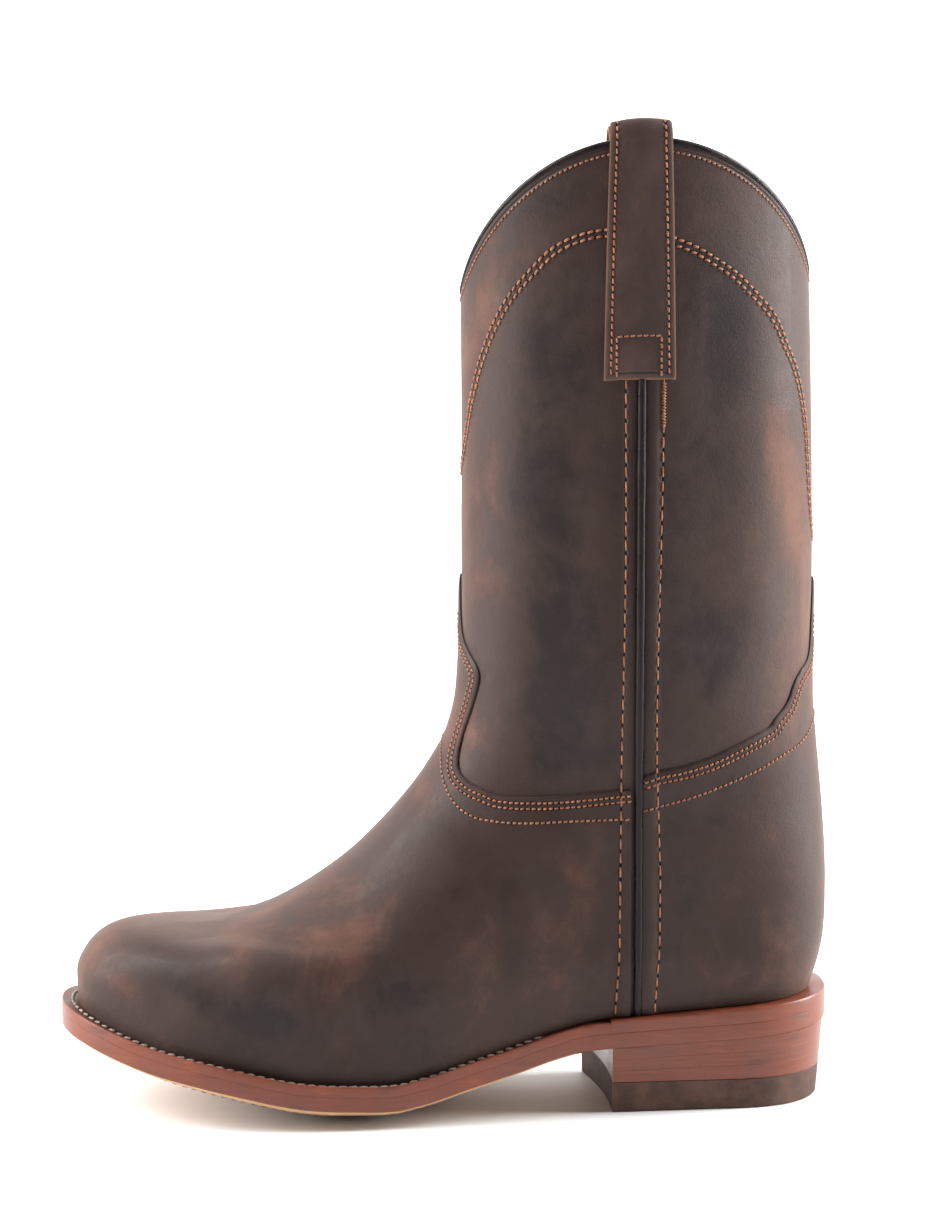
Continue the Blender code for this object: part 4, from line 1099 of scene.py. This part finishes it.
beading_turn = np.linspace(0, 2 * math.pi, BEADING_COLUMNS, endpoint=False)
level = outward(TOP, beading_turn, np.ones(BEADING_COLUMNS, bool))
collar_relief = relief(np.full(BEADING_COLUMNS, float(TOP)), beading_turn)
leather_edge = skin(TOP, beading_turn) + collar_relief[:, None] * level - level * WALL / 2
beading_rings = [leather_edge + level * (BEADING_HALF * out) + np.array([0, 0, high])
                 for out, high in BEADING_SECTION]
beading_faces = (grid_faces(len(BEADING_SECTION), BEADING_COLUMNS, True).tolist()
                 + closing_faces(len(BEADING_SECTION), BEADING_COLUMNS))
add_piece("topline_beading", np.concatenate(beading_rings), beading_faces, glazed_leather,
          "collar_binding")


# The pull straps: one band of doubled leather at each side, sewn to the shaft outside, looped over the
# topline and sewn down inside. Two stitch rows run along it, and a box of stitches holds its foot.
STRAP_WIDTH, STRAP_TOP_WIDTH, STRAP_THICKNESS, STRAP_LOOP = 26.4, 22.8, 2.1, 5.6
STRAP_FOOT, STRAP_INNER_FOOT = 16.62, 17.3
STRAP_ROW, STRAP_BOX_TOP = 2.7, 16.0
STRAP_COLUMNS = 23
# The strap's face over its width: how much it stands out at these distances from its edge.
STRAP_CROWN = ((0, 0.6, 1.4, STRAP_ROW, 4.4, 13), (-0.42, -0.10, 0.0, -0.22, 0.04, 0.22))
STRAP_EDGE_BROWN = (0.150, 0.070, 0.042)


def strap_sheet(side, off):
    """A grid of points at this height over the strap's underside: up the outside, over, and down inside."""
    spread = np.linspace(-0.5, 0.5, STRAP_COLUMNS)
    seam = seam_angle(18.0, side)[0]
    leg, inner = length_rows(STRAP_FOOT, TOP, 92, seam), length_rows(TOP, STRAP_INNER_FOOT, 56, seam)

    def angles_at(rows):
        middle = seam_angle(rows, side)
        pace = np.linalg.norm(skin(rows, middle + 0.005) - skin(rows, middle - 0.005), axis=1) / 0.01
        wide = np.interp(rows, (leg[0], TOP), (STRAP_WIDTH, STRAP_TOP_WIDTH))
        return middle[:, None] + spread[None, :] * (wide / pace)[:, None]

    def lay(rows, proud):
        angles = angles_at(rows)
        wide = np.broadcast_to(rows[:, None], angles.shape)
        return skin(wide, angles) + proud * outward(wide, angles, wide >= TOP)

    rim_angles = angles_at(np.array([float(TOP)]))[0]
    rim, out = skin(TOP, rim_angles), outward(TOP, rim_angles, np.ones(len(spread), bool))
    over = []
    for turn in np.linspace(0, math.pi, 26)[1:-1]:
        reach = (BEADING_HALF + GAP + off) * math.cos(turn)
        over.append(rim + out * (reach - WALL / 2) + [0, 0, (STRAP_LOOP + off) * math.sin(turn)])
    outside, inside = lay(leg, GAP + off), lay(inner, -WALL - GAP - off)
    return np.concatenate([outside, np.array(over), inside])


def strap_leather(name):
    """The upper's leather, rubbed paler and greyer by hands, with a raw reddish edge."""
    paint = napped_paint(name)
    clouds = paint.noise(19.0, 4.0, 0.62, paint.stretched(1.0, 1.0, 0.5), twist=0.5)
    mottle = paint.noise(4.0, 5.0, 0.66, twist=0.4)
    tone = (clouds - 0.5) * 1.5 + (mottle - 0.5) * 0.65 + 0.42
    colour = paint.colour(paint.between(tone, -0.6, 0.1), DARKEST_BROWN, BROWN)
    colour = paint.colour(paint.between(tone, 0.1, 1.3), colour, LIGHT_REDDISH_BROWN)
    colour = paint.colour(paint.between(clouds, 0.3, 0.7, 0.15, 0.32), colour, GREY_BLOOM)
    inset = paint.attribute("inset")
    groove = paint.line(inset, STRAP_ROW, 0.8)
    # Painted shade: the strap is darkened along its stitch groove.
    colour = paint.colour(groove * GROOVE_SHADE, colour, DARKEST_BROWN)
    colour = paint.colour(paint.between(inset, 0.9, 0.2, 0.0, 0.75), colour, STRAP_EDGE_BROWN)
    nap = paint.noise(0.45, 4.0, 0.7)
    height = paint.cells(0.62) * 0.035 + nap * 0.05 + paint.noise(2.6, 4.0) * 0.10
    normal = paint.bump(groove * -0.35, paint.bump(height))
    rough = paint.between(tone, -0.8, 0.9, 0.50, 0.66) + (nap - 0.5) * 0.16
    coat = paint.between(mottle, 0.35, 0.75, 0.0, 0.04)
    return paint.finish(Base_Color=colour, Roughness=rough, Coat_Weight=coat, Normal=normal)


pull_leather = strap_leather("pull strap leather")


def add_strap(name, node, side):
    """A strap with a crowned face, its two long rows of stitches and the box at its outer foot."""
    over, under = strap_sheet(side, STRAP_THICKNESS), strap_sheet(side, 0.05)
    count, width = over.shape[:2]
    wide = np.linalg.norm(over[:, -1] - over[:, 0], axis=1)
    spread = np.linspace(-0.5, 0.5, width)[None, :] * wide[:, None]
    inset = wide[:, None] / 2 - np.abs(spread)
    crown = np.interp(inset, *STRAP_CROWN)
    heart = over - under
    normal = unit(heart)
    over = over + normal * crown[:, :, None]
    for k, drop in enumerate((0.55, 0.25)):
        over[k] -= heart[k] / STRAP_THICKNESS * drop
        over[-1 - k] -= heart[-1 - k] / STRAP_THICKNESS * drop
    rings = np.concatenate([over, under[:, ::-1]], axis=1)
    along = np.arange(count)[:, None] * np.ones(2 * width)
    ends = np.minimum(along, count - 1 - along)
    inset_all = np.minimum(np.concatenate([inset, inset[:, ::-1]], axis=1), ends)
    add_piece(name, rings.reshape(-1, 3), bar_faces(count, 2 * width), pull_leather, node,
              {"inset": inset_all.ravel()})
    rows = []
    for sign in (-1, 1):
        place = (width - 1) * (0.5 + sign * (0.5 - STRAP_ROW / wide))
        low = place.astype(int)
        share = (place - low)[:, None]
        ring = np.arange(count)
        line = over[ring, low] * (1 - share) + over[ring, low + 1] * share
        rows.append((line[2:-2], normal[ring, low][2:-2]))
    sew(name + "_rows", rows, pitch=2.75, length=2.1, width=0.74, height=0.12, lean=6.0, over=0.04)
    lengths = lengths_along(over[:, width // 2])

    def on_strap(from_middle, height):
        """A point of the strap's outer face, this far from its middle and over its foot, with its normal."""
        i = np.interp(height, lengths, np.arange(count))
        k = (width - 1) * (0.5 + from_middle / wide[int(i)])
        a, b = int(k), int(i)
        u, v = k - a, i - b
        point = ((over[b, a] * (1 - u) + over[b, a + 1] * u) * (1 - v)
                 + (over[b + 1, a] * (1 - u) + over[b + 1, a + 1] * u) * v)
        return point, normal[b, a]

    box = []
    corners = ((-8.6, 1.0), (-8.6, STRAP_BOX_TOP), (7.8, STRAP_BOX_TOP), (7.8, 1.0))
    for start, end in zip(corners, corners[1:]):
        marks = [on_strap(*np.add(start, np.multiply(np.subtract(end, start), share)))
                 for share in np.linspace(0, 1, 20)]
        box.append((np.array([mark[0] for mark in marks]), np.array([mark[1] for mark in marks])))
    sew(name + "_box", box, pitch=2.5, length=1.9, width=0.74, height=0.18, lean=6.0, over=0.08)


add_strap("outer_pull_strap", "pull_strap_outer", -1)
add_strap("inner_pull_strap", "pull_strap_inner", 1)


# The welt: a strip of firm leather sewn round the edge of the foot, from breast to breast. Its top shows a
# row of light waxed stitches, pressed with a fudging wheel, and its side is burnished with the sole's.
SOLE_TOE, SOLE_SIDE, SOLE_HEEL = 40, 120, 34
TOE_RUN, HEEL_RUN = 62, 31
BREAST_SLANT, BREAST_HOLLOW, BREAST_HALF = 0.09, 2.6, 34.0
LEAST_ANGLE = 0.004


def rim(angle, margin, side):
    """A point of the feather outline moved out by the margin, in plan. side is -1 for the outer side."""
    angle = np.where(np.asarray(side) < 0, angle, 2 * math.pi - np.asarray(angle, float))
    along = skin(0, angle + 0.01)[..., :2] - skin(0, angle - 0.01)[..., :2]
    out = np.stack([along[..., 1], -along[..., 0]], axis=-1)
    return (skin(0, angle)[..., :2]
            + np.asarray(margin)[..., None] * out / np.linalg.norm(out, axis=-1, keepdims=True))


def sole_angles():
    """Angles from toe to heel that follow both round ends closely and the sides evenly."""
    toe = TOE_X + TOE_RUN * (1 - np.cos(np.linspace(0, math.pi / 2, SOLE_TOE + 1)))
    heel = HEEL_X - HEEL_RUN * (1 - np.cos(np.linspace(math.pi / 2, 0, SOLE_HEEL + 1)))
    side = np.linspace(toe[-1], heel[0], SOLE_SIDE + 1)[1:-1]
    along = (np.concatenate([toe, side, heel]) - TOE_X) / (HEEL_X - TOE_X)
    return np.arccos(1 - 2 * np.clip(along, 0, 1))


def welt_margin(angle):
    """How far the sole's edge lies outside the feather outline."""
    return plan("margin", TOE_X + (1 - np.cos(angle)) / 2 * (HEEL_X - TOE_X))


def breast_x(y, shift=0.0):
    """Place of the heel's breast, which is slanted and a little hollow."""
    off = y - plan("centre", HEEL_BREAST)
    share = off / BREAST_HALF
    return HEEL_BREAST + shift - BREAST_SLANT * off + BREAST_HOLLOW * (1 - np.minimum(1, share * share))


def breast_angle(shift, drawn, side):
    """Angle at which the sole's edge, drawn in by this much, crosses the breast moved by this shift."""
    angles = np.linspace(0.3, 0.95, 500) * math.pi
    edge = rim(angles, welt_margin(angles) - drawn, side)
    return np.interp(0, edge[:, 0] - breast_x(edge[:, 1], shift), angles)


def edge_run(front, shift):
    """Angles and sides along the sole's edge: round the toe from breast to breast, or round the heel."""
    angles = sole_angles()
    ends = {side: breast_angle(shift, 0, side) for side in (-1, 1)}
    if front:
        outer = np.append(angles[angles < ends[-1] - LEAST_ANGLE], ends[-1])[::-1]
        inner = np.append(angles[angles < ends[1] - LEAST_ANGLE], ends[1])[1:]
        return np.concatenate([outer, inner]), np.array([-1] * len(outer) + [1] * len(inner))
    inner = np.append(ends[1], angles[angles > ends[1] + LEAST_ANGLE])
    outer = np.append(ends[-1], angles[angles > ends[-1] + LEAST_ANGLE])[-2::-1]
    return np.concatenate([inner, outer]), np.array([1] * len(inner) + [-1] * len(outer))


def edge_rings(run, section, bottom, top):
    """Rings of a strip along the sole's edge. The section holds shares of its width and of its height."""
    angles, sides = run
    wide = welt_margin(angles) + WALL
    rings = []
    for out, high in section:
        x, y = rim(angles, -WALL + out * wide, sides).T
        low, peak = bottom(x, y), top(x, y)
        rings.append(np.column_stack([x, y, low + high * (peak - low)]))
    return np.stack(rings, axis=1)


def burnished_edge(name, deep, mid, light, layers=0.55, rough=0.36):
    """Stacked sole leather, stained, waxed and burnished: fine level layers, streaks and small scuffs."""
    paint = Paint(name, Specular_IOR_Level=0.35, Coat_Roughness=0.28)
    grain = paint.noise(0.85, 3.0, 0.6, paint.stretched(0.03, 0.03, 1.0))
    streaks = paint.noise(2.2, 4.0, 0.6, paint.stretched(0.12, 0.12, 1.0), twist=0.2)
    clouds = paint.noise(16.0, 4.0, 0.6)
    specks = paint.noise(0.7, 3.0, 0.7)
    tone = (grain - 0.5) * layers + (streaks - 0.5) * 1.2 + (clouds - 0.5) * 1.6 + (specks - 0.5) * 0.2
    colour = paint.colour(paint.between(tone, -0.75, 0.0), deep, mid)
    colour = paint.colour(paint.between(tone, 0.0, 0.8), colour, light)
    scuffs = paint.between(paint.noise(5.0, 5.0, 0.7, paint.stretched(0.5, 0.5, 2.2)), 0.60, 0.74)
    colour = paint.colour(scuffs * 0.45, colour, deep)
    height = grain * 0.05 + streaks * 0.05 + specks * 0.03
    return paint.finish(Base_Color=colour, Roughness=paint.between(tone, -0.8, 0.8, rough, rough + 0.16),
                        Coat_Weight=paint.between(clouds, 0.3, 0.7, 0.25, 0.08), Normal=paint.bump(height))


sole_edge = burnished_edge("burnished sole edge", (0.0607, 0.0131, 0.0062), (0.1538, 0.0358, 0.0161),
                           (0.2427, 0.0651, 0.0296))
welt_top = Paint("welt top", Specular_IOR_Level=0.42)
welt_tone = welt_top.noise(7.0, 4.0)
welt_leather = welt_top.finish(
    Base_Color=welt_top.clouded(welt_tone, (0.060, 0.020, 0.011), (0.140, 0.046, 0.023)),
    Roughness=welt_top.clouded(welt_tone, 0.40, 0.56),
    Normal=welt_top.bump(welt_top.noise(0.6, 3.0) * 0.08))


def welt_low(x, y):
    """Height of the welt's and the rand's underside, a hair over the outsole."""
    return sole_bottom(x, y) + OUTSOLE + 0.02


def welt_high(x, y):
    """Height of the welt's top."""
    return sole_bottom(x, y) + OUTSOLE + GAP + WELT


# Shares of the welt's width, from inside, and of its height. Its top begins at the seventh column and has the
# stitches' channel at STITCH_PLACE. The stitches end at WELT_STITCHED, in front of the breast.
EDGE_SECTION = ((0.0, 0.0), (0.992, 0.0), (0.998, 0.01), (1.0, 0.04), (1.0, 0.80), (0.985, 0.93),
                (0.95, 0.995), (0.75, 1.0), (0.60, 0.985), (0.45, 1.0), (0.2, 1.0), (0.0, 1.0))
TOP_FROM, STITCH_PLACE, WELT_STITCHED, SOLE_PITCH = 6, 0.60, 36, 3.9
welt_run = edge_run(True, -0.7)
welt_rings = edge_rings(welt_run, EDGE_SECTION, welt_low, welt_high)
columns = len(EDGE_SECTION)
side_faces = (len(welt_rings) - 1) * columns
welt_faces = bar_faces(len(welt_rings), columns)
on_top = [int(k % columns >= TOP_FROM and k < side_faces) for k in range(len(welt_faces))]
add_piece("sole_welt", welt_rings.reshape(-1, 3), welt_faces, [sole_edge, welt_leather],
          "welt", face_materials=on_top)

waxed = Paint("waxed welt thread", Roughness=0.5)
waxed_tone = waxed.noise(2.4)
waxed_thread = waxed.finish(
    Base_Color=waxed.clouded(waxed_tone, (0.105, 0.075, 0.055), (0.26, 0.20, 0.155)),
    Normal=waxed.bump(waxed.noise(0.3) * 0.06))
welt_line = edge_rings(welt_run, ((STITCH_PLACE, 1.0),), welt_low, welt_high)[:, 0]
welt_line = welt_line[welt_line[:, 0] < WELT_STITCHED]
straight_up = np.tile([0.0, 0.0, 1.0], (len(welt_line), 1))
sew("welt_stitches", [(welt_line, straight_up)], SOLE_PITCH, length=3.35, width=1.35, height=0.12, lean=4.0,
    material=waxed_thread)


# The heel rand: a strip of sole leather nailed round the heel seat, a little thicker than the welt. Its edge
# is stained and burnished with the sole's.
RAND_SECTION = ((0.0, 0.0), (0.992, 0.0), (0.998, 0.01), (1.0, 0.04), (1.0, 0.78), (0.992, 0.90),
                (0.965, 0.975), (0.92, 1.0), (0.5, 1.0), (0.0, 1.0))
rand_rings = edge_rings(edge_run(False, -0.65), RAND_SECTION, welt_low, deck_height)
add_piece("heel_seat_rand", rand_rings.reshape(-1, 3), bar_faces(len(rand_rings), len(RAND_SECTION)),
          sole_edge, "heel_rand")


# The outsole: one 6 mm plate of oak-bark tanned leather. Its edge is stained and burnished reddish brown, and
# its underside and lowest arris keep the natural tan of the leather, with the stitches in a shallow channel.
# Along the forefoot the tan band on the arris is widened as a painted highlight of the light under the lifted
# toe.
natural = Paint("natural sole leather", Specular_IOR_Level=0.4)
natural_clouds = natural.noise(22.0, 4.0, 0.6)
natural_fibre = natural.noise(2.2, 4.0, 0.65)
natural_scuffs = natural.between(natural.noise(3.5, 5.0, 0.7, natural.stretched(0.4, 1.6, 1.0)), 0.58, 0.76)
natural_colour = natural.clouded(natural_clouds, (0.42, 0.235, 0.115), (0.56, 0.34, 0.18))
natural_colour = natural.colour(natural_scuffs * 0.35, natural_colour, (0.25, 0.13, 0.06))
natural_leather = natural.finish(
    Base_Color=natural_colour, Roughness=natural.clouded(natural_fibre, 0.46, 0.62),
    Normal=natural.bump(natural_fibre * 0.10 + natural.noise(0.5) * 0.05))
# Section of the plate's edge: millimetres drawn in, and share of the thickness. Then places across the plate,
# the place from which only the underside is tan (in front of it the tan reaches higher up the arris as a
# painted highlight), and the channel with its stitches, drawn in by CHANNEL_IN.
SOLE_EDGE = ((1.35, 0.0), (0.55, 0.02), (0.12, 0.10), (0.0, 0.24), (0.0, 0.95), (0.02, 0.99), (0.08, 1.0))
HALF_ACROSS = (0.15, 0.3, 0.45, 0.58, 0.7, 0.8, 0.86, 0.93, 1.0)
ACROSS = np.array([-share for share in HALF_ACROSS[::-1]] + [0] + list(HALF_ACROSS))
TAN_AND_LIT_ARRIS_END, CHANNEL_END, CHANNEL_IN, CHANNEL_SUNK = 46, 50, 6.5, 0.24


def sole_outline(drawn):
    """The two sides of the sole's edge, each from toe to heel and drawn in by this much."""
    angles = sole_angles()
    return [rim(angles, welt_margin(angles) - drawn, side) for side in (-1, 1)]


def add_outsole():
    """The plate: a grid for its underside, another for its top, and rings round its edge between them."""
    mix = (ACROSS + 1) / 2

    def plate(drawn, height):
        outer, inner = sole_outline(drawn)
        grid = outer[:, None] * (1 - mix)[None, :, None] + inner[:, None] * mix[None, :, None]
        x, y = grid[..., 0], grid[..., 1]
        return np.stack([x, y, sole_bottom(x, y) + height * OUTSOLE], axis=-1)

    def ring(drawn, height):
        outer, inner = sole_outline(drawn)
        line = np.concatenate([outer, inner[-2:0:-1]])
        return np.column_stack([line, sole_bottom(line[:, 0], line[:, 1]) + height * OUTSOLE])

    bottom, top = plate(*SOLE_EDGE[0]), plate(*SOLE_EDGE[-1])
    rings = [ring(*step) for step in SOLE_EDGE]
    count, width, round_count = len(bottom), len(ACROSS), len(rings[0])
    points = np.concatenate([bottom.reshape(-1, 3), top.reshape(-1, 3)] + rings[1:-1])
    index = np.arange(count * width).reshape(count, width)
    border = np.concatenate([index[:, 0], index[-2:0:-1, -1]])
    between = [(2 * count * width + k * round_count) + np.arange(round_count) for k in range(len(rings) - 2)]
    borders = [border] + between + [border + count * width]
    quads = grid_faces(count, width, False).tolist()
    faces = quads + [[corner + count * width for corner in reversed(face)] for face in quads]
    marks = [1] * len(quads) + [0] * len(quads)
    for level, (low, high) in enumerate(zip(borders, borders[1:])):
        for k in range(round_count):
            after = (k + 1) % round_count
            faces.append([int(corner) for corner in (low[k], low[after], high[after], high[k])])
            # Tan faces: the underside and its bevel, and in the forefoot the next step up as well, a painted
            # highlight of the light under the lifted toe.
            marks.append(int(level < 1 or (level < 2 and rings[0][k, 0] < TAN_AND_LIT_ARRIS_END)))
    add_piece("leather_outsole", points, faces, [sole_edge, natural_leather], "outsole",
              face_materials=marks)


add_outsole()
channel_outer, channel_inner = sole_outline(CHANNEL_IN)
channel = np.concatenate([channel_outer[::-1], channel_inner[1:]])
channel = channel[channel[:, 0] < CHANNEL_END]
channel = np.column_stack([channel, sole_bottom(channel[:, 0], channel[:, 1]) + CHANNEL_SUNK])
straight_down = np.tile([0.0, 0.0, -1.0], (len(channel), 1))
sew("sole_stitches", [(channel, straight_down)], SOLE_PITCH, length=3.3, width=0.95, height=0.02, lean=3.0,
    material=waxed_thread)


# The heel: three lifts of stacked leather, pasted and nailed under the sole, and a lift of hard rubber. The
# breast is hollowed a little. The stack's side is burnished with the sole's edge.
TOP_LIFT, HEEL_TOP, SEAT_SLOPE = 11.8, 29.6, 0.05
HEEL_INSET, HEEL_TAPER, HEEL_MIDDLE = 0.6, 2.6, 105.0
HEEL_SIDE_POINTS, BREAST_POINTS = 110, 26
EASE, RUBBER_EASE, ARRIS, SUPPORT = 0.05, 0.35, 2.2, 0.5
heel_stack = burnished_edge("burnished heel stack", (0.0567, 0.0117, 0.0055), (0.1538, 0.0365, 0.0161),
                            (0.2266, 0.0639, 0.0296), 0.9, 0.34)
rubber_paint = Paint("hard heel rubber", Specular_IOR_Level=0.35)
rubber_clouds = rubber_paint.noise(9.0, 4.0)
rubber_dust = rubber_paint.noise(0.5, 3.0, 0.7)
rubber = rubber_paint.finish(
    Base_Color=rubber_paint.clouded(rubber_clouds, (0.050, 0.0245, 0.0160), (0.096, 0.0480, 0.0325)),
    Roughness=rubber_paint.clouded(rubber_dust, 0.62, 0.82),
    Normal=rubber_paint.bump(rubber_dust * 0.10 + rubber_paint.noise(2.5) * 0.08))


def heel_plan(drawn):
    """Plan of the heel: from the breast on the outer side round the back, then along the breast."""
    there = np.linspace(breast_angle(0, drawn, -1), math.pi, HEEL_SIDE_POINTS)
    back = np.linspace(breast_angle(0, drawn, 1), math.pi, HEEL_SIDE_POINTS)[-2::-1]
    outer, inner = rim(there, welt_margin(there) - drawn, -1), rim(back, welt_margin(back) - drawn, 1)
    across = np.linspace(inner[-1][1], outer[0][1], BREAST_POINTS)[1:-1]
    return np.concatenate([outer, inner, np.stack([breast_x(across), across], axis=-1)])


def joint_at(share):
    """Height along the boot of the joint at this share of the leather stack."""
    return lambda x: TOP_LIFT + share * (HEEL_TOP + SEAT_SLOPE * (x - HEEL_END) - TOP_LIFT)


def level_at(height):
    """The same height all along the boot."""
    return lambda x: x * 0.0 + height


def add_lift(name, node, low, high, material, ease=EASE):
    """A layer of the heel between two heights along the boot. Its arrises are eased, its sides lean."""
    below = ((ARRIS, 0.0), (ease, 0.0), (0.0, ease), (0.0, ease + SUPPORT))
    steps = [(inset, 0.0, up) for inset, up in below] + [(inset, 1.0, -up) for inset, up in below[::-1]]
    rings = []
    for inset, share, fixed in steps:
        level = low(HEEL_MIDDLE) * (1 - share) + high(HEEL_MIDDLE) * share + fixed
        outline = heel_plan(HEEL_INSET + HEEL_TAPER * (1 - level / HEEL_TOP) + inset)
        height = low(outline[:, 0]) * (1 - share) + high(outline[:, 0]) * share + fixed
        rings.append(np.column_stack([outline, height]))
    add_piece(name, np.concatenate(rings), bar_faces(len(rings), len(rings[0])), material, node)


for k in range(3):
    add_lift("stacked_lift_%d" % (k + 1), "heel_lift_%d" % (k + 1), joint_at(k / 3), joint_at((k + 1) / 3),
             heel_stack)
add_lift("rubber_lift", "top_lift", level_at(0.0), level_at(TOP_LIFT - 0.04), rubber,
         RUBBER_EASE)


# The insole: a plate of smooth vegetable-tanned leather over the cork filling. The foot stands on it.
insole_paint = Paint("smooth insole leather", Specular_IOR_Level=0.35)
insole_clouds = insole_paint.noise(18.0, 4.0)
insole_pores = insole_paint.cells(0.8)
insole_leather = insole_paint.finish(
    Base_Color=insole_paint.clouded(insole_clouds, (0.20, 0.115, 0.062), (0.30, 0.18, 0.10)),
    Roughness=insole_paint.clouded(insole_clouds, 0.55, 0.72),
    Normal=insole_paint.bump(insole_pores * 0.06 + insole_paint.noise(3.0) * 0.08))
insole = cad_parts["insole"]
insole.data.materials.clear()
insole.data.materials.append(insole_leather)


# The picture: a plain pale floor, soft light from both sides and a long lens almost square to the side.
def add_softbox(name, place, aim, size, power):
    """A soft area light at this place in metres, turned to its aim."""
    light = bpy.data.lights.new(name, "AREA")
    light.shape, light.size, light.size_y = "RECTANGLE", size[0], size[1]
    light.energy = power
    lamp = bpy.data.objects.new(name, light)
    lamp.location = place
    lamp.rotation_euler = (Vector(aim) - Vector(place)).to_track_quat("-Z", "Y").to_euler()
    bpy.context.scene.collection.objects.link(lamp)


def add_sheet(name, corners, paint):
    """A flat sheet round the boot, which belongs to the picture and not to the boot."""
    mesh = bpy.data.meshes.new(name)
    mesh.from_pydata(corners, [], [(0, 1, 2, 3)])
    mesh.materials.append(paint.material)
    sheet = bpy.data.objects.new(name, mesh)
    bpy.context.scene.collection.objects.link(sheet)
    return sheet


floor_paint = Paint("pale floor", Roughness=0.6, Specular_IOR_Level=0.2, Base_Color=(0.72, 0.72, 0.72, 1))
floor = add_sheet("pale_floor", [(-6, -6, 0), (6, -6, 0), (6, 6, 0), (-6, 6, 0)], floor_paint)
floor.location.z = -0.0002

backdrop_paint = Paint("lit backdrop", Roughness=1.0, Base_Color=(0.0, 0.0, 0.0, 1),
                       Emission_Color=(1.0, 1.0, 1.0, 1), Emission_Strength=2.2)
backdrop = add_sheet("lit_backdrop", [(-4, 2.4, -0.4), (4, 2.4, -0.4), (4, 2.4, 3.2), (-4, 2.4, 3.2)],
                     backdrop_paint)

add_softbox("left softbox", (-1.50, -0.02, 0.95), (0.0, 0.0, 0.16), (0.9, 1.5), 82.0)
add_softbox("right softbox", (1.55, 0.06, 0.85), (0.02, 0.0, 0.18), (0.8, 1.5), 90.0)
add_softbox("top softbox", (0.0, 0.25, 1.9), (0.0, 0.0, 0.1), (2.0, 1.4), 19.0)

world = bpy.data.worlds.new("pale studio")
world.use_nodes = True
world.node_tree.nodes["Background"].inputs["Color"].default_value = (1.0, 1.0, 1.0, 1)
world.node_tree.nodes["Background"].inputs["Strength"].default_value = 0.12
bpy.context.scene.world = world

camera_data = bpy.data.cameras.new("long lens")
camera_data.sensor_fit = "VERTICAL"
camera_data.sensor_height = 36.0
camera_data.lens = 101.3
camera_data.clip_start, camera_data.clip_end = 0.05, 30.0
camera = bpy.data.objects.new("camera", camera_data)
camera.location = (-0.0810, -1.2968, 0.355)
camera.rotation_euler = (math.radians(90 - 7.22), 0, math.radians(-4))
bpy.context.scene.collection.objects.link(camera)
bpy.context.scene.camera = camera
bpy.context.scene.view_settings.view_transform = "Standard"
